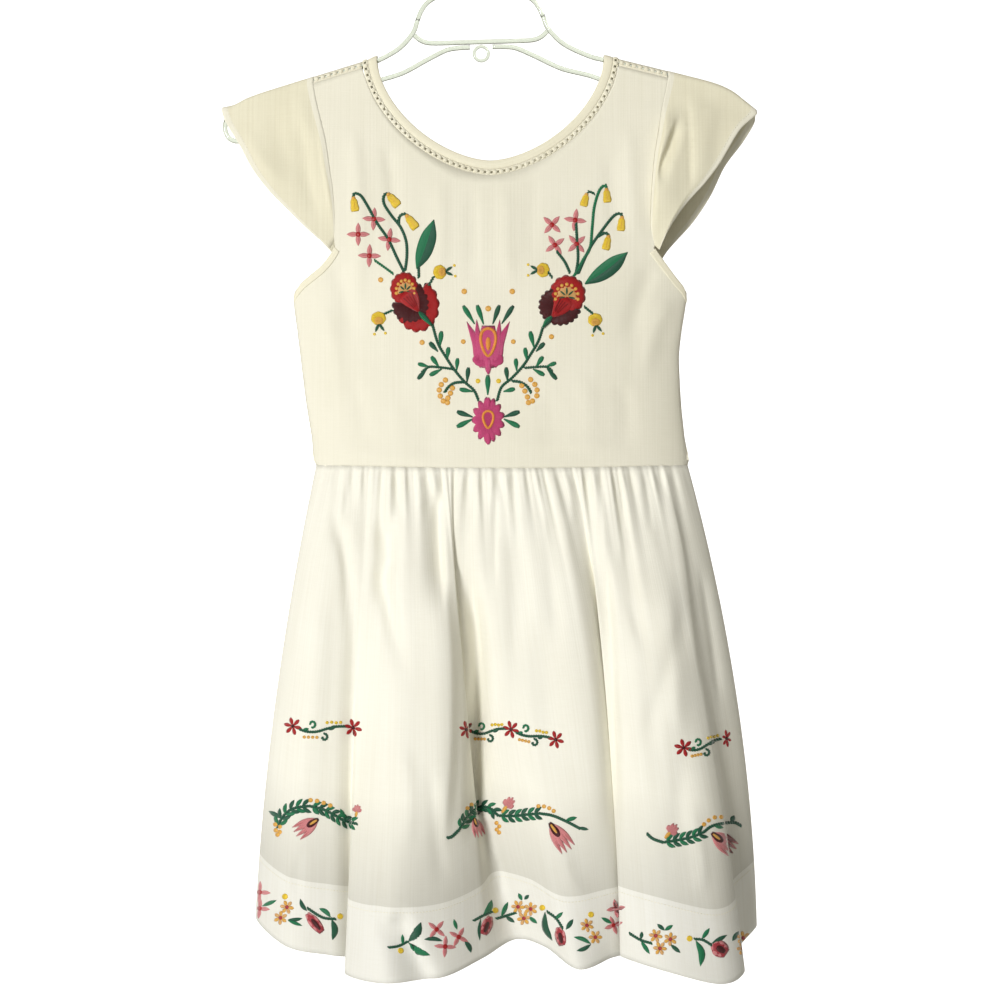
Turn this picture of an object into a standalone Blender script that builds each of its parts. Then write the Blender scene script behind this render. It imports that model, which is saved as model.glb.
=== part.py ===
"""Girl's white cotton dress with cap sleeves and a gathered skirt, hung on a clear plastic hanger.

The origin is where a closet rail bears in the hook, the front faces -Y and +Z is up.
Tables and sizes are in millimetres, and each mesh is scaled to metres when it is made.
Every piece of cloth is a wall: a grid of outer points from a few curves, and the same grid
moved in by the thickness of the cloth.
"""
import math

import bmesh
import bpy
import numpy as np

MM = 0.001

# Cloth and seams
CLOTH = 1.2           # wall of one layer of cloth
HEM_CLOTH = 2.0       # wall where the hem is turned up
SEAM = 0.3            # gap between two pieces at a seam
FOLD_RADIUS = 4.5     # how far the cloth rounds over the hanger's rail
HEM_STARTS = 0.86     # where the turned-up hem starts, as a share of the skirt's length

# Neck opening
NECK_MIDDLE = 11.3
NECK_LEVEL = -127.7
NECK_HALF_WIDTH = 95.0
NECK_DEPTH = 86.5
NECK_ROUNDNESS = 1.7
BINDING_WIDTH = 7.5
INSERTION_WIDTH = 5.0
SHOULDER_TRIM_DROP = 7.0

# Armholes
ARM_BINDING_WIDTH = 6.0
CORNER_CLEARANCE = 1.0
ARMHOLE_STEPS = 7
ARMHOLE_SEWN = 0.975  # share of the armhole seam down to the sleeve's end
SHOULDER_LEFT = -137.0
SHOULDER_RIGHT = 160.0

# Lines of the body's grid, counted from a shoulder: where on the neckline each starts, as an
# angle from the neckline's side, and how far it bends on its way
NECK_SPREAD = ((0, 0.20), (8, 0.62), (12, 0.95), (18, 1.25), (23, math.pi / 2))
LINE_BEND = ((0, 0.0), (7, 0.0), (10, 1.0), (18, 0.9), (23, 0.0))

# Skirt
WAIST_SAG = 3.0
GATHER_HEIGHT = 2.0
FRONT_GATHERS = 26
BACK_GATHERS = 18
COLUMNS_PER_GATHER = 4

# Hanger, in its own upright frame before the tilt
HANGER_TILT = math.radians(1.7)
ROD_RADIUS = 2.0
HOOK_RADIUS = 2.5
HOOK_INSIDE = 22.5
RAIL_TO_CLOTH = ROD_RADIUS + CLOTH + 0.8

# Axis of the upper rail, from the root of the dome to where the end turns down: x, z
UPPER_RAIL = ((52.8, -93.0), (57.0, -103.5), (69.5, -116.5), (90.0, -127.0), (104.0, -131.2),
              (141.0, -141.5), (182.0, -153.0), (197.0, -158.0))
# Axis of the rail's rounded end: x, z
RAIL_END = ((208.0, -163.5), (215.0, -171.0), (217.0, -179.5), (213.5, -187.5), (206.0, -190.0))
# Axis of the lower rail, from the rounded end back to the middle: x, z
LOWER_RAIL = ((196.0, -187.0), (150.0, -168.0), (110.0, -151.5), (90.0, -143.5), (67.0, -137.0),
              (46.0, -126.5), (30.0, -119.0), (20.0, -117.3), (9.5, -117.0))
# Axis of the dome that carries the hook: x, z
DOME = ((52.6, -92.5), (49.0, -84.5), (43.0, -77.5), (32.0, -72.0), (17.0, -68.3), (0.0, -67.0))
# Axis of the crossbar under the dome: x, z
CROSSBAR = ((55.6, -105.5), (52.0, -108.9), (46.5, -111.6), (38.0, -112.6), (16.0, -112.6),
            (0.0, -112.6))

# The body's side lines, where front and back meet: z, left x, right x
# Above the underarm they run far out, because the armholes stay open.
SIDE_LINES = ((-130, -590.0, 612.0), (-214, -290.0, 312.0), (-260, -205.0, 227.0),
              (-300, -167.0, 189.0), (-327, -154.5, 176.5), (-371, -149.0, 169.5),
              (-413, -144.0, 171.0), (-468, -135.0, 177.0))
# Half depth of the body in the middle: z, depth
BODY_DEPTH = ((-130, 4.5), (-160, 6.0), (-214, 11.0), (-260, 16.0), (-300, 20.0), (-330, 22.0),
              (-400, 25.0), (-470, 27.0))
# Armhole edges from below the shoulder to the sleeve's end: x, z
ARMHOLE_LEFT = ((-137.0, -150.0), (-132.7, -170.0), (-126.4, -195.0), (-121.8, -226.0),
                (-118.6, -251.0), (-118.6, -286.4))
ARMHOLE_RIGHT = ((160.0, -147.0), (155.5, -165.0), (151.5, -189.0), (147.0, -220.0),
                 (144.5, -266.3), (148.5, -288.0))
# Lower armhole edges from the sleeve's end to the underarm: x, z
UNDERARM_LEFT = ((-118.6, -286.4), (-122.0, -293.0), (-131.0, -303.5), (-146.6, -315.8),
                 (-153.9, -326.0))
UNDERARM_RIGHT = ((148.5, -288.0), (155.5, -297.4), (166.3, -311.3), (173.0, -319.0),
                  (176.0, -326.0))
# Outer edges of the sleeves from below the tip to the sleeve's end: x, z, depth
SLEEVE_LEFT_FRONT = ((-213.0, -174.5, 4.5), (-209.0, -183.5, 5.0), (-196.3, -204.1, 6.5),
                     (-182.3, -229.0, 9.0), (-162.1, -250.7, 11.0), (-143.5, -269.4, 13.0),
                     (-122.0, -288.5, 15.0))
SLEEVE_LEFT_BACK = ((-213.0, -174.5, 4.5), (-208.0, -184.0, 5.5), (-194.3, -204.0, 8.0),
                    (-180.3, -228.0, 11.0), (-160.1, -249.7, 13.0), (-141.5, -268.4, 14.0),
                    (-122.0, -288.5, 15.0))
SLEEVE_RIGHT_FRONT = ((233.0, -175.5, 4.8), (219.2, -188.6, 8.0), (200.6, -219.7, 11.0),
                      (186.0, -238.0, 13.0), (175.6, -249.1, 14.0), (162.0, -268.0, 15.0),
                      (151.5, -289.5, 16.0))
SLEEVE_RIGHT_BACK = ((235.0, -177.7, 4.8), (224.0, -196.0, 6.0), (206.5, -220.0, 8.5),
                     (193.0, -249.0, 11.0), (174.0, -272.0, 13.0), (163.0, -284.0, 14.0),
                     (155.5, -295.0, 15.0))
TIP_LEFT = (-213.5, -167.5)
TIP_RIGHT = (234.5, -169.5)

# Folds of the skirt, a row for each turn of the cloth from the left seam to the right one.
# waist x, then x and depth halfway down, then x, depth and z at the hem
FRONT_FOLDS = {
    "left seam":        (-135.0, -168.0, 0.0, -186.0, 0.0, -846.0),
    "left fold":        (-119.0, -145.0, 34.0, -155.0, 48.0, -859.0),
    "left fold end":    (-105.0, -116.0, 37.0, -118.0, 50.0, -866.0),
    "left tuck":        (-95.0, -102.0, 31.0, -101.0, 38.0, -872.0),
    "plain fold edge":  (-84.0, -95.0, 38.0, -105.0, 58.0, -879.0),
    "plain fold":       (-65.0, -65.0, 60.0, -71.0, 88.0, -878.0),
    "plain fold right": (-45.0, -33.0, 57.0, -28.0, 76.0, -877.0),
    "plain fold fall":  (-28.0, -8.5, 42.0, 5.0, 52.0, -868.0),
    "hollow":           (-13.0, -11.0, 26.0, 32.0, 28.0, -859.0),
    "hollow rise":      (3.0, 18.0, 38.0, 56.0, 40.0, -862.0),
    "middle fold":      (28.0, 48.0, 48.0, 82.0, 66.0, -873.0),
    "middle fold end":  (57.0, 94.0, 52.0, 110.0, 50.0, -868.0),
    "right tuck":       (75.0, 114.0, 34.0, 124.0, 40.0, -868.0),
    "right fold edge":  (87.0, 107.0, 46.0, 117.0, 58.0, -865.0),
    "right fold":       (108.0, 132.0, 56.0, 150.0, 78.0, -871.0),
    "right fold crown": (131.0, 168.0, 56.0, 195.0, 72.0, -883.0),
    "right corner":     (147.0, 186.0, 46.0, 217.0, 52.0, -879.0),
    "side tuck":        (160.0, 194.0, 30.0, 215.0, 30.0, -867.0),
    "right seam":       (177.0, 218.0, 0.0, 235.0, 0.0, -854.0),
}
BACK_FOLDS = {
    "left seam":   (-135.0, -168.0, 0.0, -186.0, 0.0, -846.0),
    "first crest":  (-117.0, -150.0, 30.0, -160.0, 44.0, -856.0),
    "first dip":    (-92.0, -118.0, 24.0, -122.0, 26.0, -850.0),
    "second crest": (-62.0, -80.0, 46.0, -78.0, 64.0, -862.0),
    "second dip":   (-36.0, -44.0, 34.0, -40.0, 36.0, -853.0),
    "third crest":  (-6.0, -4.0, 50.0, 4.0, 72.0, -864.0),
    "third dip":    (20.0, 30.0, 36.0, 42.0, 40.0, -855.0),
    "fourth crest": (52.0, 70.0, 52.0, 86.0, 74.0, -865.0),
    "fourth dip":   (80.0, 104.0, 34.0, 122.0, 38.0, -855.0),
    "fifth crest":  (110.0, 140.0, 48.0, 160.0, 64.0, -863.0),
    "fifth dip":    (136.0, 172.0, 30.0, 192.0, 32.0, -853.0),
    "sixth crest":  (160.0, 200.0, 28.0, 222.0, 36.0, -858.0),
    "right seam":  (177.0, 218.0, 0.0, 235.0, 0.0, -854.0),
}

# Where the rows of the skirt's grid lie, as shares of its length
FRONT_ROWS = (0.0, 0.03, 0.07, 0.13, 0.21, 0.31, 0.43, 0.57, 0.72, HEM_STARTS - 0.01, HEM_STARTS,
              1.0)
BACK_ROWS = (0.0, 0.03, 0.08, 0.16, 0.28, 0.45, 0.65, HEM_STARTS - 0.01, HEM_STARTS, 1.0)

# Colours as linear RGB
CREAM = (0.88, 0.85, 0.72, 1.0)
WHITE_TRIM = (0.90, 0.88, 0.80, 1.0)
CLEAR_PLASTIC = (0.86, 0.88, 0.87, 1.0)


def clear_scene():
    """Remove whatever objects the file starts with."""
    for old in list(bpy.data.objects):
        bpy.data.objects.remove(old, do_unlink=True)


def make_material(name, colour, roughness):
    """Make a plain Principled BSDF material."""
    material = bpy.data.materials.new(name)
    material.use_nodes = True
    shader = material.node_tree.nodes["Principled BSDF"]
    shader.inputs["Base Color"].default_value = colour
    shader.inputs["Roughness"].default_value = roughness
    shader.inputs["Metallic"].default_value = 0.0
    material.diffuse_color = colour
    return material


def along(table, share):
    """Read a smooth curve through the table's rows at a share of its length from 0 to 1."""
    rows = np.asarray(table, dtype=float)
    place = min(max(share, 0.0), 1.0) * (len(rows) - 1)
    start = min(int(place), len(rows) - 2)
    return through_four(rows, start, place - start)


def through_four(rows, start, part):
    """Catmull-Rom curve between rows start and start + 1, with its ends mirrored."""
    here = rows[start]
    after = rows[start + 1]
    before = rows[start - 1] if start > 0 else 2.0 * here - after
    beyond = rows[start + 2] if start + 2 < len(rows) else 2.0 * after - here
    return 0.5 * (2.0 * here + (after - before) * part
                  + (2.0 * before - 5.0 * here + 4.0 * after - beyond) * part ** 2
                  + (3.0 * here - before - 3.0 * after + beyond) * part ** 3)


def tilt(x, z):
    """Turn a point of the upright hanger about the rail, as it hangs."""
    cosine = math.cos(HANGER_TILT)
    sine = math.sin(HANGER_TILT)
    return x * cosine - z * sine, x * sine + z * cosine


def rail_line(side):
    """The cloth's upper edge over one rail as it hangs: x and z values from the neck outwards."""
    path = smooth_path([(side * x, z) for x, z in UPPER_RAIL + RAIL_END[:2]], 24)[:-2]
    axis = np.array([tilt(x, z) for x, z in path])
    way = np.gradient(axis, axis=0)
    way /= np.linalg.norm(way, axis=1, keepdims=True)
    upward = np.column_stack((-side * way[:, 1], side * way[:, 0]))
    return axis + upward * RAIL_TO_CLOTH


def smooth_path(table, steps):
    """Evenly spread points of a smooth curve through a table's rows."""
    return [tuple(along(table, step / steps)) for step in range(steps + 1)]


RAIL_LINES = {-1: rail_line(-1), 1: rail_line(1)}
TIPS = {-1: TIP_LEFT, 1: TIP_RIGHT}


def top_line(x):
    """Height of the dress's upper edge, which follows the rail and droops to the sleeve's tip."""
    side = -1 if x < NECK_MIDDLE else 1
    line = np.vstack((RAIL_LINES[side], TIPS[side]))
    return float(np.interp(x * side, line[:, 0] * side, line[:, 1]))


def fold_depth(drop):
    """Half depth of the fold over the rail at a distance below its top."""
    if drop >= FOLD_RADIUS:
        return FOLD_RADIUS
    return math.sqrt(FOLD_RADIUS ** 2 - (FOLD_RADIUS - max(drop, 0.0)) ** 2)


def body_depth(x, z):
    """Distance of the dress's body from the middle plane, 0 at the top fold and side seams."""
    rows = np.array(SIDE_LINES, dtype=float)[::-1]
    left = np.interp(z, rows[:, 0], rows[:, 1])
    right = np.interp(z, rows[:, 0], rows[:, 2])
    across = min(abs(x - 0.5 * (left + right)) / (0.5 * (right - left)), 1.0)
    middle = np.array(BODY_DEPTH, dtype=float)[::-1]
    extra = np.interp(z, middle[:, 0], middle[:, 1]) - FOLD_RADIUS
    drop = top_line(x) - z
    extra *= min(max(drop / 18.0, 0.0), 1.0)
    return (fold_depth(drop) + max(extra, 0.0)) * (1.0 - across ** 2.4) ** 0.6


def body_normal(x, y, z):
    """Outward direction of the body's surface at a point of its front, back or top fold."""
    reach = 0.3
    if top_line(x) - z < 0.01:
        return np.array((0.0, 0.0, 1.0))
    slope_x = (body_depth(x + reach, z) - body_depth(x - reach, z)) / (2.0 * reach)
    slope_z = (body_depth(x, z + reach) - body_depth(x, z - reach)) / (2.0 * reach)
    normal = np.array((-slope_x, math.copysign(1.0, y), -slope_z))
    return normal / np.linalg.norm(normal)


def body_normals(points):
    """The body's outward directions at a whole grid of points."""
    return np.array([[body_normal(*p) for p in row] for row in points])


def grid_normals(outer):
    """Outward directions of a grid of points, from its own shape."""
    normal = np.cross(np.gradient(outer, axis=0), np.gradient(outer, axis=1))
    normal /= np.linalg.norm(normal, axis=2, keepdims=True)
    from_middle = outer - outer.mean(axis=(0, 1)) * np.array((1.0, 0.0, 1.0))
    return normal if np.sum(normal * from_middle) > 0.0 else -normal


def wall(name, points, thickness, material, normal, ring=False, keep=None):
    """Build a closed wall from a grid of outer points, rows by columns, in millimetres.

    The inner points lie one thickness further in, against the normals, and keep puts a
    point back on its own side of the seam plane.
    """
    outer = np.array(points, dtype=float)
    if keep:
        outer[..., 1] = keep(outer[..., 1])
    depth = np.broadcast_to(np.asarray(thickness, dtype=float), outer.shape[:2])
    inner = outer - normal * depth[..., None]
    if keep:
        inner[..., 1] = keep(inner[..., 1])
    bm = bmesh.new()
    outside = [[bm.verts.new(p * MM) for p in row] for row in outer]
    inside = [[bm.verts.new(p * MM) for p in row] for row in inner]
    rows = len(outside)
    columns = len(outside[0])
    last_row = rows if ring else rows - 1
    for i in range(last_row):
        j = (i + 1) % rows
        for k in range(columns - 1):
            bm.faces.new((outside[i][k], outside[i][k + 1], outside[j][k + 1], outside[j][k]))
            bm.faces.new((inside[i][k], inside[j][k], inside[j][k + 1], inside[i][k + 1]))
        for k in (0, columns - 1):
            bm.faces.new((outside[i][k], outside[j][k], inside[j][k], inside[i][k]))
    if not ring:
        for i in (0, rows - 1):
            for k in range(columns - 1):
                bm.faces.new((outside[i][k], outside[i][k + 1], inside[i][k + 1], inside[i][k]))
    bmesh.ops.recalc_face_normals(bm, faces=bm.faces)
    return add_mesh(name, bm, material)


def add_mesh(name, bm, material):
    """Turn a bmesh into a smooth-shaded object of the garment."""
    mesh = bpy.data.meshes.new(name)
    bm.to_mesh(mesh)
    bm.free()
    mesh.materials.append(material)
    mesh.shade_smooth()
    mesh.set_sharp_from_angle(angle=math.radians(50))
    thing = bpy.data.objects.new(name, mesh)
    GARMENT.objects.link(thing)
    return thing


def front_side(y):
    """Keep the front's points in front of the side seams."""
    return np.minimum(y, -0.5 * SEAM)


def back_side(y):
    """Keep the back's points behind the side seams."""
    return np.maximum(y, 0.5 * SEAM)


def neck_point(angle, outward):
    """Point of the neckline in front view, moved outward, with the angle from 0 at the left."""
    power = 2.0 / NECK_ROUNDNESS
    cosine = math.cos(angle)
    x = NECK_MIDDLE - math.copysign(abs(cosine) ** power, cosine) * (NECK_HALF_WIDTH + outward)
    z = NECK_LEVEL - abs(math.sin(angle)) ** power * (NECK_DEPTH + outward)
    return x, min(z, top_line(x))


def neck_half(outward, steps):
    """Points of one half of a neck loop from the left fold to the right fold, with depth."""
    points = []
    left = NECK_MIDDLE - NECK_HALF_WIDTH - outward
    right = NECK_MIDDLE + NECK_HALF_WIDTH + outward
    for drop in (0.0, 0.9, 2.2):
        z = top_line(left) - drop
        points.append((left, z, body_depth(left, z)))
    for step in range(1, 2 * steps):
        nearness = min(step, 2 * steps - step) / steps
        angle = 0.5 * math.pi * nearness ** 1.35
        if step > steps:
            angle = math.pi - angle
        x, z = neck_point(angle, outward)
        z = min(z, top_line(x) - 3.4)
        points.append((x, z, body_depth(x, z)))
    for drop in (2.2, 0.9, 0.0):
        z = top_line(right) - drop
        points.append((right, z, body_depth(right, z)))
    return points


def neck_strip(name, start, width, thickness, material, steps=14):
    """A flat strip all round the neck, between two distances from the neckline."""
    loops = []
    for outward in (start, start + width):
        half = neck_half(outward, steps)
        front = [(x, -d, z) for x, z, d in half]
        back = [(x, d, z) for x, z, d in half[::-1]]
        loops.append(front + back[1:-1])
    points = np.swapaxes(np.array(loops), 0, 1)
    return wall(name, points, thickness, material, body_normals(points), ring=True)


def shares(count, first=0):
    """Even shares from 0 to 1, leaving out the first ones if a neighbour has them."""
    return [step / count for step in range(first, count + 1)]


def body_outline():
    """Outer edge of the front or back in front view, from the left shoulder round the waist."""
    gap = np.array((0.5 * SEAM, 0.0))
    left = [armhole_point(-1, s) + gap for s in shares(ARMHOLE_STEPS)]
    left += [binding_edge(UNDERARM_LEFT, s, -1, ARM_BINDING_WIDTH + SEAM) for s in shares(4)]
    left += [side_point(s, 1) for s in shares(6, 1)]
    waist = [waist_point(s) for s in shares(10, 1)]
    right = [armhole_point(1, s) - gap for s in shares(ARMHOLE_STEPS)]
    right += [binding_edge(UNDERARM_RIGHT, s, 1, ARM_BINDING_WIDTH + SEAM) for s in shares(4)]
    right += [side_point(s, 2) for s in shares(6, 1)]
    return left + waist[:-1] + right[::-1]


def armhole_point(side, share):
    """Point of an armhole seam, from the shoulder trim's lower edge to the sleeve's end."""
    table = ARMHOLE_LEFT if side < 0 else ARMHOLE_RIGHT
    x, z = along(table, ARMHOLE_SEWN * share)
    if share == 0.0:
        z = top_line(x) - SHOULDER_TRIM_DROP - SEAM
    return np.array((x, z))


def binding_edge(edge, share, side, inward):
    """Point at a distance in from the lower armhole's edge."""
    if inward > ARM_BINDING_WIDTH:
        inward += CORNER_CLEARANCE * abs(2.0 * share - 1.0) ** 2
    return along(edge, share) + inset_way(share, -side) * inward


def inset_way(share, side):
    """Direction from the lower armhole edge into the body, straight down at the underarm."""
    slant = 1.0 - share
    way = np.array((side * 0.75 * slant, -1.0 + 0.25 * slant))
    return way / np.linalg.norm(way)


def side_point(share, column):
    """Point of a side seam, from the underarm at 0 to the waist at 1."""
    rows = np.array(SIDE_LINES, dtype=float)[::-1]
    top = UNDERARM_LEFT[-1][1] - ARM_BINDING_WIDTH - SEAM
    z = top + (waist_height(0.0) + 0.5 * SEAM - top) * share
    return np.array((np.interp(z, rows[:, 0], rows[:, column]), z))


def waist_height(share):
    """Height of the waist seam, which sags a little in the middle."""
    return -468.0 - WAIST_SAG * math.sin(math.pi * share)


def waist_point(share):
    """Point of the body's lower edge from the left seam to the right one."""
    left = SIDE_LINES[-1][1]
    right = SIDE_LINES[-1][2]
    eased = 0.5 - 0.5 * math.cos(math.pi * share)
    mixed = 0.6 * share + 0.4 * eased
    return np.array((left + (right - left) * mixed, waist_height(mixed) + 0.5 * SEAM))


def bodice(name, facing, keep, material, rows=6):
    """The front or back of the body: from the neck trim out to armholes, sides and waist.

    Each line of the grid leaves the neck downwards and bends out to the armhole or side.
    """
    start = BINDING_WIDTH + INSERTION_WIDTH + 2.0 * SEAM
    outline = body_outline()
    columns = len(outline) - 1
    grid = []
    for column in range(columns + 1):
        from_end = min(column, columns - column)
        angle = np.interp(from_end, *zip(*NECK_SPREAD))
        if 2 * column > columns:
            angle = math.pi - angle
        inner = np.array(neck_point(angle, start))
        if column in (0, columns):
            inner[0] = NECK_MIDDLE + math.copysign(NECK_HALF_WIDTH + start, column - 1)
            inner[1] = top_line(inner[0]) - SHOULDER_TRIM_DROP - SEAM
        outer = outline[column]
        bend = np.interp(from_end, *zip(*LINE_BEND))
        straight = 0.5 * (inner + outer)
        bent = inner + (outer - inner) * (0.3, 0.75)
        middle = straight + (bent - straight) * bend
        line = []
        for row in range(rows + 1):
            out = 1.0 - (1.0 - row / rows) ** 1.45
            x, z = (1.0 - out) ** 2 * inner + 2.0 * out * (1.0 - out) * middle + out ** 2 * outer
            z = min(z, top_line(x) - SHOULDER_TRIM_DROP - SEAM)
            line.append((x, facing * body_depth(x, z), z))
        grid.append(line)
    return wall(name, grid, CLOTH, material, body_normals(grid), keep=keep)


def shoulder_trim(name, neck_x, arm_x, material, steps=5):
    """The openwork strip folded over the rail along a shoulder seam."""
    drops = (SHOULDER_TRIM_DROP, 4.5, 2.2, 0.9, 0.0)
    grid = []
    for step in range(steps + 1):
        x = neck_x + (arm_x - neck_x) * step / steps
        line = []
        for drop in drops:
            z = top_line(x) - drop
            line.append((x, -body_depth(x, z), z))
        for drop in drops[-2::-1]:
            z = top_line(x) - drop
            line.append((x, body_depth(x, z), z))
        grid.append(line)
    return wall(name, grid, CLOTH, material, body_normals(grid))


def sleeve(name, side, front_edge, back_edge, material, columns=8):
    """A cap sleeve: one piece folded over the rail, from the armhole out to its hem."""
    gap = 0.5 * SEAM
    shoulder = SHOULDER_LEFT if side < 0 else SHOULDER_RIGHT
    tip_x = TIPS[side][0]

    def fold_row(drop, facing):
        line = []
        for column in range(columns + 1):
            x = shoulder + side * gap + (tip_x - shoulder) * column / columns
            line.append((x, facing * fold_depth(drop), top_line(x) - drop))
        return line

    def hanging_row(edge, share, facing):
        seam_x, seam_z = armhole_point(side, share)
        seam_depth = body_depth(seam_x, seam_z)
        hem_x, hem_z, hem_depth = along(edge, 0.03 + 0.97 * share)
        line = []
        for column in range(columns + 1):
            out = column / columns
            x = seam_x + side * gap + (hem_x - seam_x) * out
            z = seam_z + (hem_z - seam_z) * out
            depth = seam_depth + (hem_depth - seam_depth) * out
            line.append((x, facing * depth, z))
        return line

    def half(edge, facing):
        lines = [fold_row(drop, facing) for drop in (0.0, 0.9, 2.2, FOLD_RADIUS)]
        return lines + [hanging_row(edge, share, facing) for share in shares(ARMHOLE_STEPS)]

    points = np.array(half(front_edge, -1)[::-1] + half(back_edge, 1)[1:])
    normal = grid_normals(points)
    at_seam = body_normals(points[:, :1])[:, 0]
    normal[:, 0] = at_seam
    return wall(name, points, CLOTH, material, normal)


def arm_binding(name, side, edge, material):
    """The folded strip round the lower armhole, from the sleeve in front to the sleeve behind."""
    def half(facing):
        line = []
        for share in shares(4):
            pair = []
            for inward in (0.0, ARM_BINDING_WIDTH):
                x, z = binding_edge(edge, share, side, inward)
                depth = body_depth(x, z) if share < 1.0 else 0.0
                pair.append((x, facing * depth, z))
            line.append(pair)
        return line

    front = half(-1)
    back = half(1)
    points = front + back[-2::-1]
    normal = body_normals(points)
    normal[len(front) - 1] = (side, 0.0, 0.0)
    return wall(name, points, CLOTH, material, normal)


def skirt(name, folds, facing, keep, gathers, rows, material):
    """The front or back of the skirt, gathered at the waist and folded towards the hem."""
    table = np.array(list(folds.values()), dtype=float)
    mirrored = table[1] * (1.0, 1.0, -1.0, 1.0, -1.0, 1.0)
    mirrored_end = table[-2] * (1.0, 1.0, -1.0, 1.0, -1.0, 1.0)
    keys = np.vstack((mirrored, table, mirrored_end))
    columns = gathers * COLUMNS_PER_GATHER
    waist_left = table[0][0]
    waist_right = table[-1][0]
    smooth = []
    for column in range(columns + 1):
        share = column / columns
        waist_x = waist_left + (waist_right - waist_left) * share
        start = int(np.clip(np.searchsorted(table[:, 0], waist_x, side="right") - 1,
                            0, len(table) - 2))
        part = (waist_x - table[start, 0]) / (table[start + 1, 0] - table[start, 0])
        key = through_four(keys, start + 1, part)
        top = waist_height(share) - 0.5 * SEAM
        top_depth = body_depth(waist_x, -467.9)
        line = []
        for down in rows:
            weights = ((1.0 - down) * (1.0 - 2.0 * down), 4.0 * down * (1.0 - down),
                       down * (2.0 * down - 1.0))
            x = weights[0] * waist_x + weights[1] * key[1] + weights[2] * key[3]
            depth = weights[0] * top_depth + weights[1] * key[2] + weights[2] * key[4]
            z = top + (key[5] - top) * down
            line.append((x, facing * max(depth, 0.0), z))
        smooth.append(line)
    points = np.array(smooth)
    points += gather_shift(points, facing, gathers, rows)
    thickness = np.where(np.array(rows) >= HEM_STARTS, HEM_CLOTH, CLOTH)
    return wall(name, points, thickness[None, :], material, grid_normals(points), keep=keep)


def gather_shift(points, facing, gathers, rows):
    """Small waves of the gathered cloth below the waist seam, uneven in height and length."""
    columns = len(points) - 1
    shift = np.zeros_like(points)
    for column in range(columns + 1):
        share = column / columns
        wave = math.sin(2.0 * math.pi * gathers * share)
        uneven = 0.72 + 0.28 * math.sin(19.0 * share + 1.0) * math.cos(43.0 * share)
        length = 0.085 + 0.05 * math.sin(31.0 * share + 2.0) + 0.03 * math.cos(71.0 * share)
        near_seam = min(1.0, 14.0 * share, 14.0 * (1.0 - share))
        for row, down in enumerate(rows):
            rise = 0.55 + 0.45 * min(1.0, down / 0.03)
            fade = math.exp(-max(0.0, down - 0.03) / length)
            size = GATHER_HEIGHT * wave * uneven * near_seam * rise * fade
            shift[column, row, 1] = facing * size
    return shift


def tube(name, points, radius, material, cyclic=False, sides=2):
    """A round rod along a list of x and z values."""
    curve = bpy.data.curves.new(name, "CURVE")
    curve.dimensions = "3D"
    curve.bevel_depth = radius * MM
    curve.bevel_resolution = sides
    curve.use_fill_caps = True
    spline = curve.splines.new("POLY")
    spline.points.add(len(points) - 1)
    for spot, (x, z) in zip(spline.points, points):
        tilted_x, tilted_z = tilt(x, z)
        spot.co = (tilted_x * MM, 0.0, tilted_z * MM, 1.0)
    spline.use_cyclic_u = cyclic
    curve.materials.append(material)
    rod = bpy.data.objects.new(name, curve)
    GARMENT.objects.link(rod)
    return rod


def hanger_arm(name, side, material):
    """One arm: out along the upper rail, round the end and back along the lower rail."""
    route = UPPER_RAIL + RAIL_END + LOWER_RAIL
    path = smooth_path([(side * x, z) for x, z in route], 36)
    return tube(name, path, ROD_RADIUS, material)


def hanger_dome(material):
    """The arch over the neck opening, between the two arms, that the hook stands on."""
    half = [tuple(p) for p in DOME]
    full = half + [(-x, z) for x, z in half[-2::-1]]
    path = smooth_path(full, 18)
    return tube("hanger_dome", path, ROD_RADIUS, material)


def hanger_crossbar(material):
    """The bar under the dome, from arm to arm."""
    half = [tuple(p) for p in CROSSBAR]
    full = half + [(-x, z) for x, z in half[-2::-1]]
    return tube("hanger_crossbar", smooth_path(full, 16), ROD_RADIUS, material)


def hanger_hook(material):
    """The hook over the closet rail, with its stem."""
    radius = HOOK_INSIDE + HOOK_RADIUS
    stem = [(0.0, -67.0 + ROD_RADIUS + SEAM), (0.0, -58.0), (3.5, -51.0), (11.0, -45.5)]
    arc = []
    for step in range(17):
        angle = math.radians(-48.0 + 256.0 * step / 16)
        arc.append((radius * math.cos(angle), -HOOK_INSIDE + radius * math.sin(angle)))
    return tube("hanger_hook", stem + arc, HOOK_RADIUS, material)


def hanger_loop(material):
    """The small eye under the crossbar."""
    circle = []
    for step in range(12):
        angle = math.radians(90.0 + 360.0 * step / 12)
        circle.append((6.0 * math.cos(angle), -122.5 + 6.0 * math.sin(angle)))
    return tube("hanger_eye", circle, 1.4, material, cyclic=True)


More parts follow.
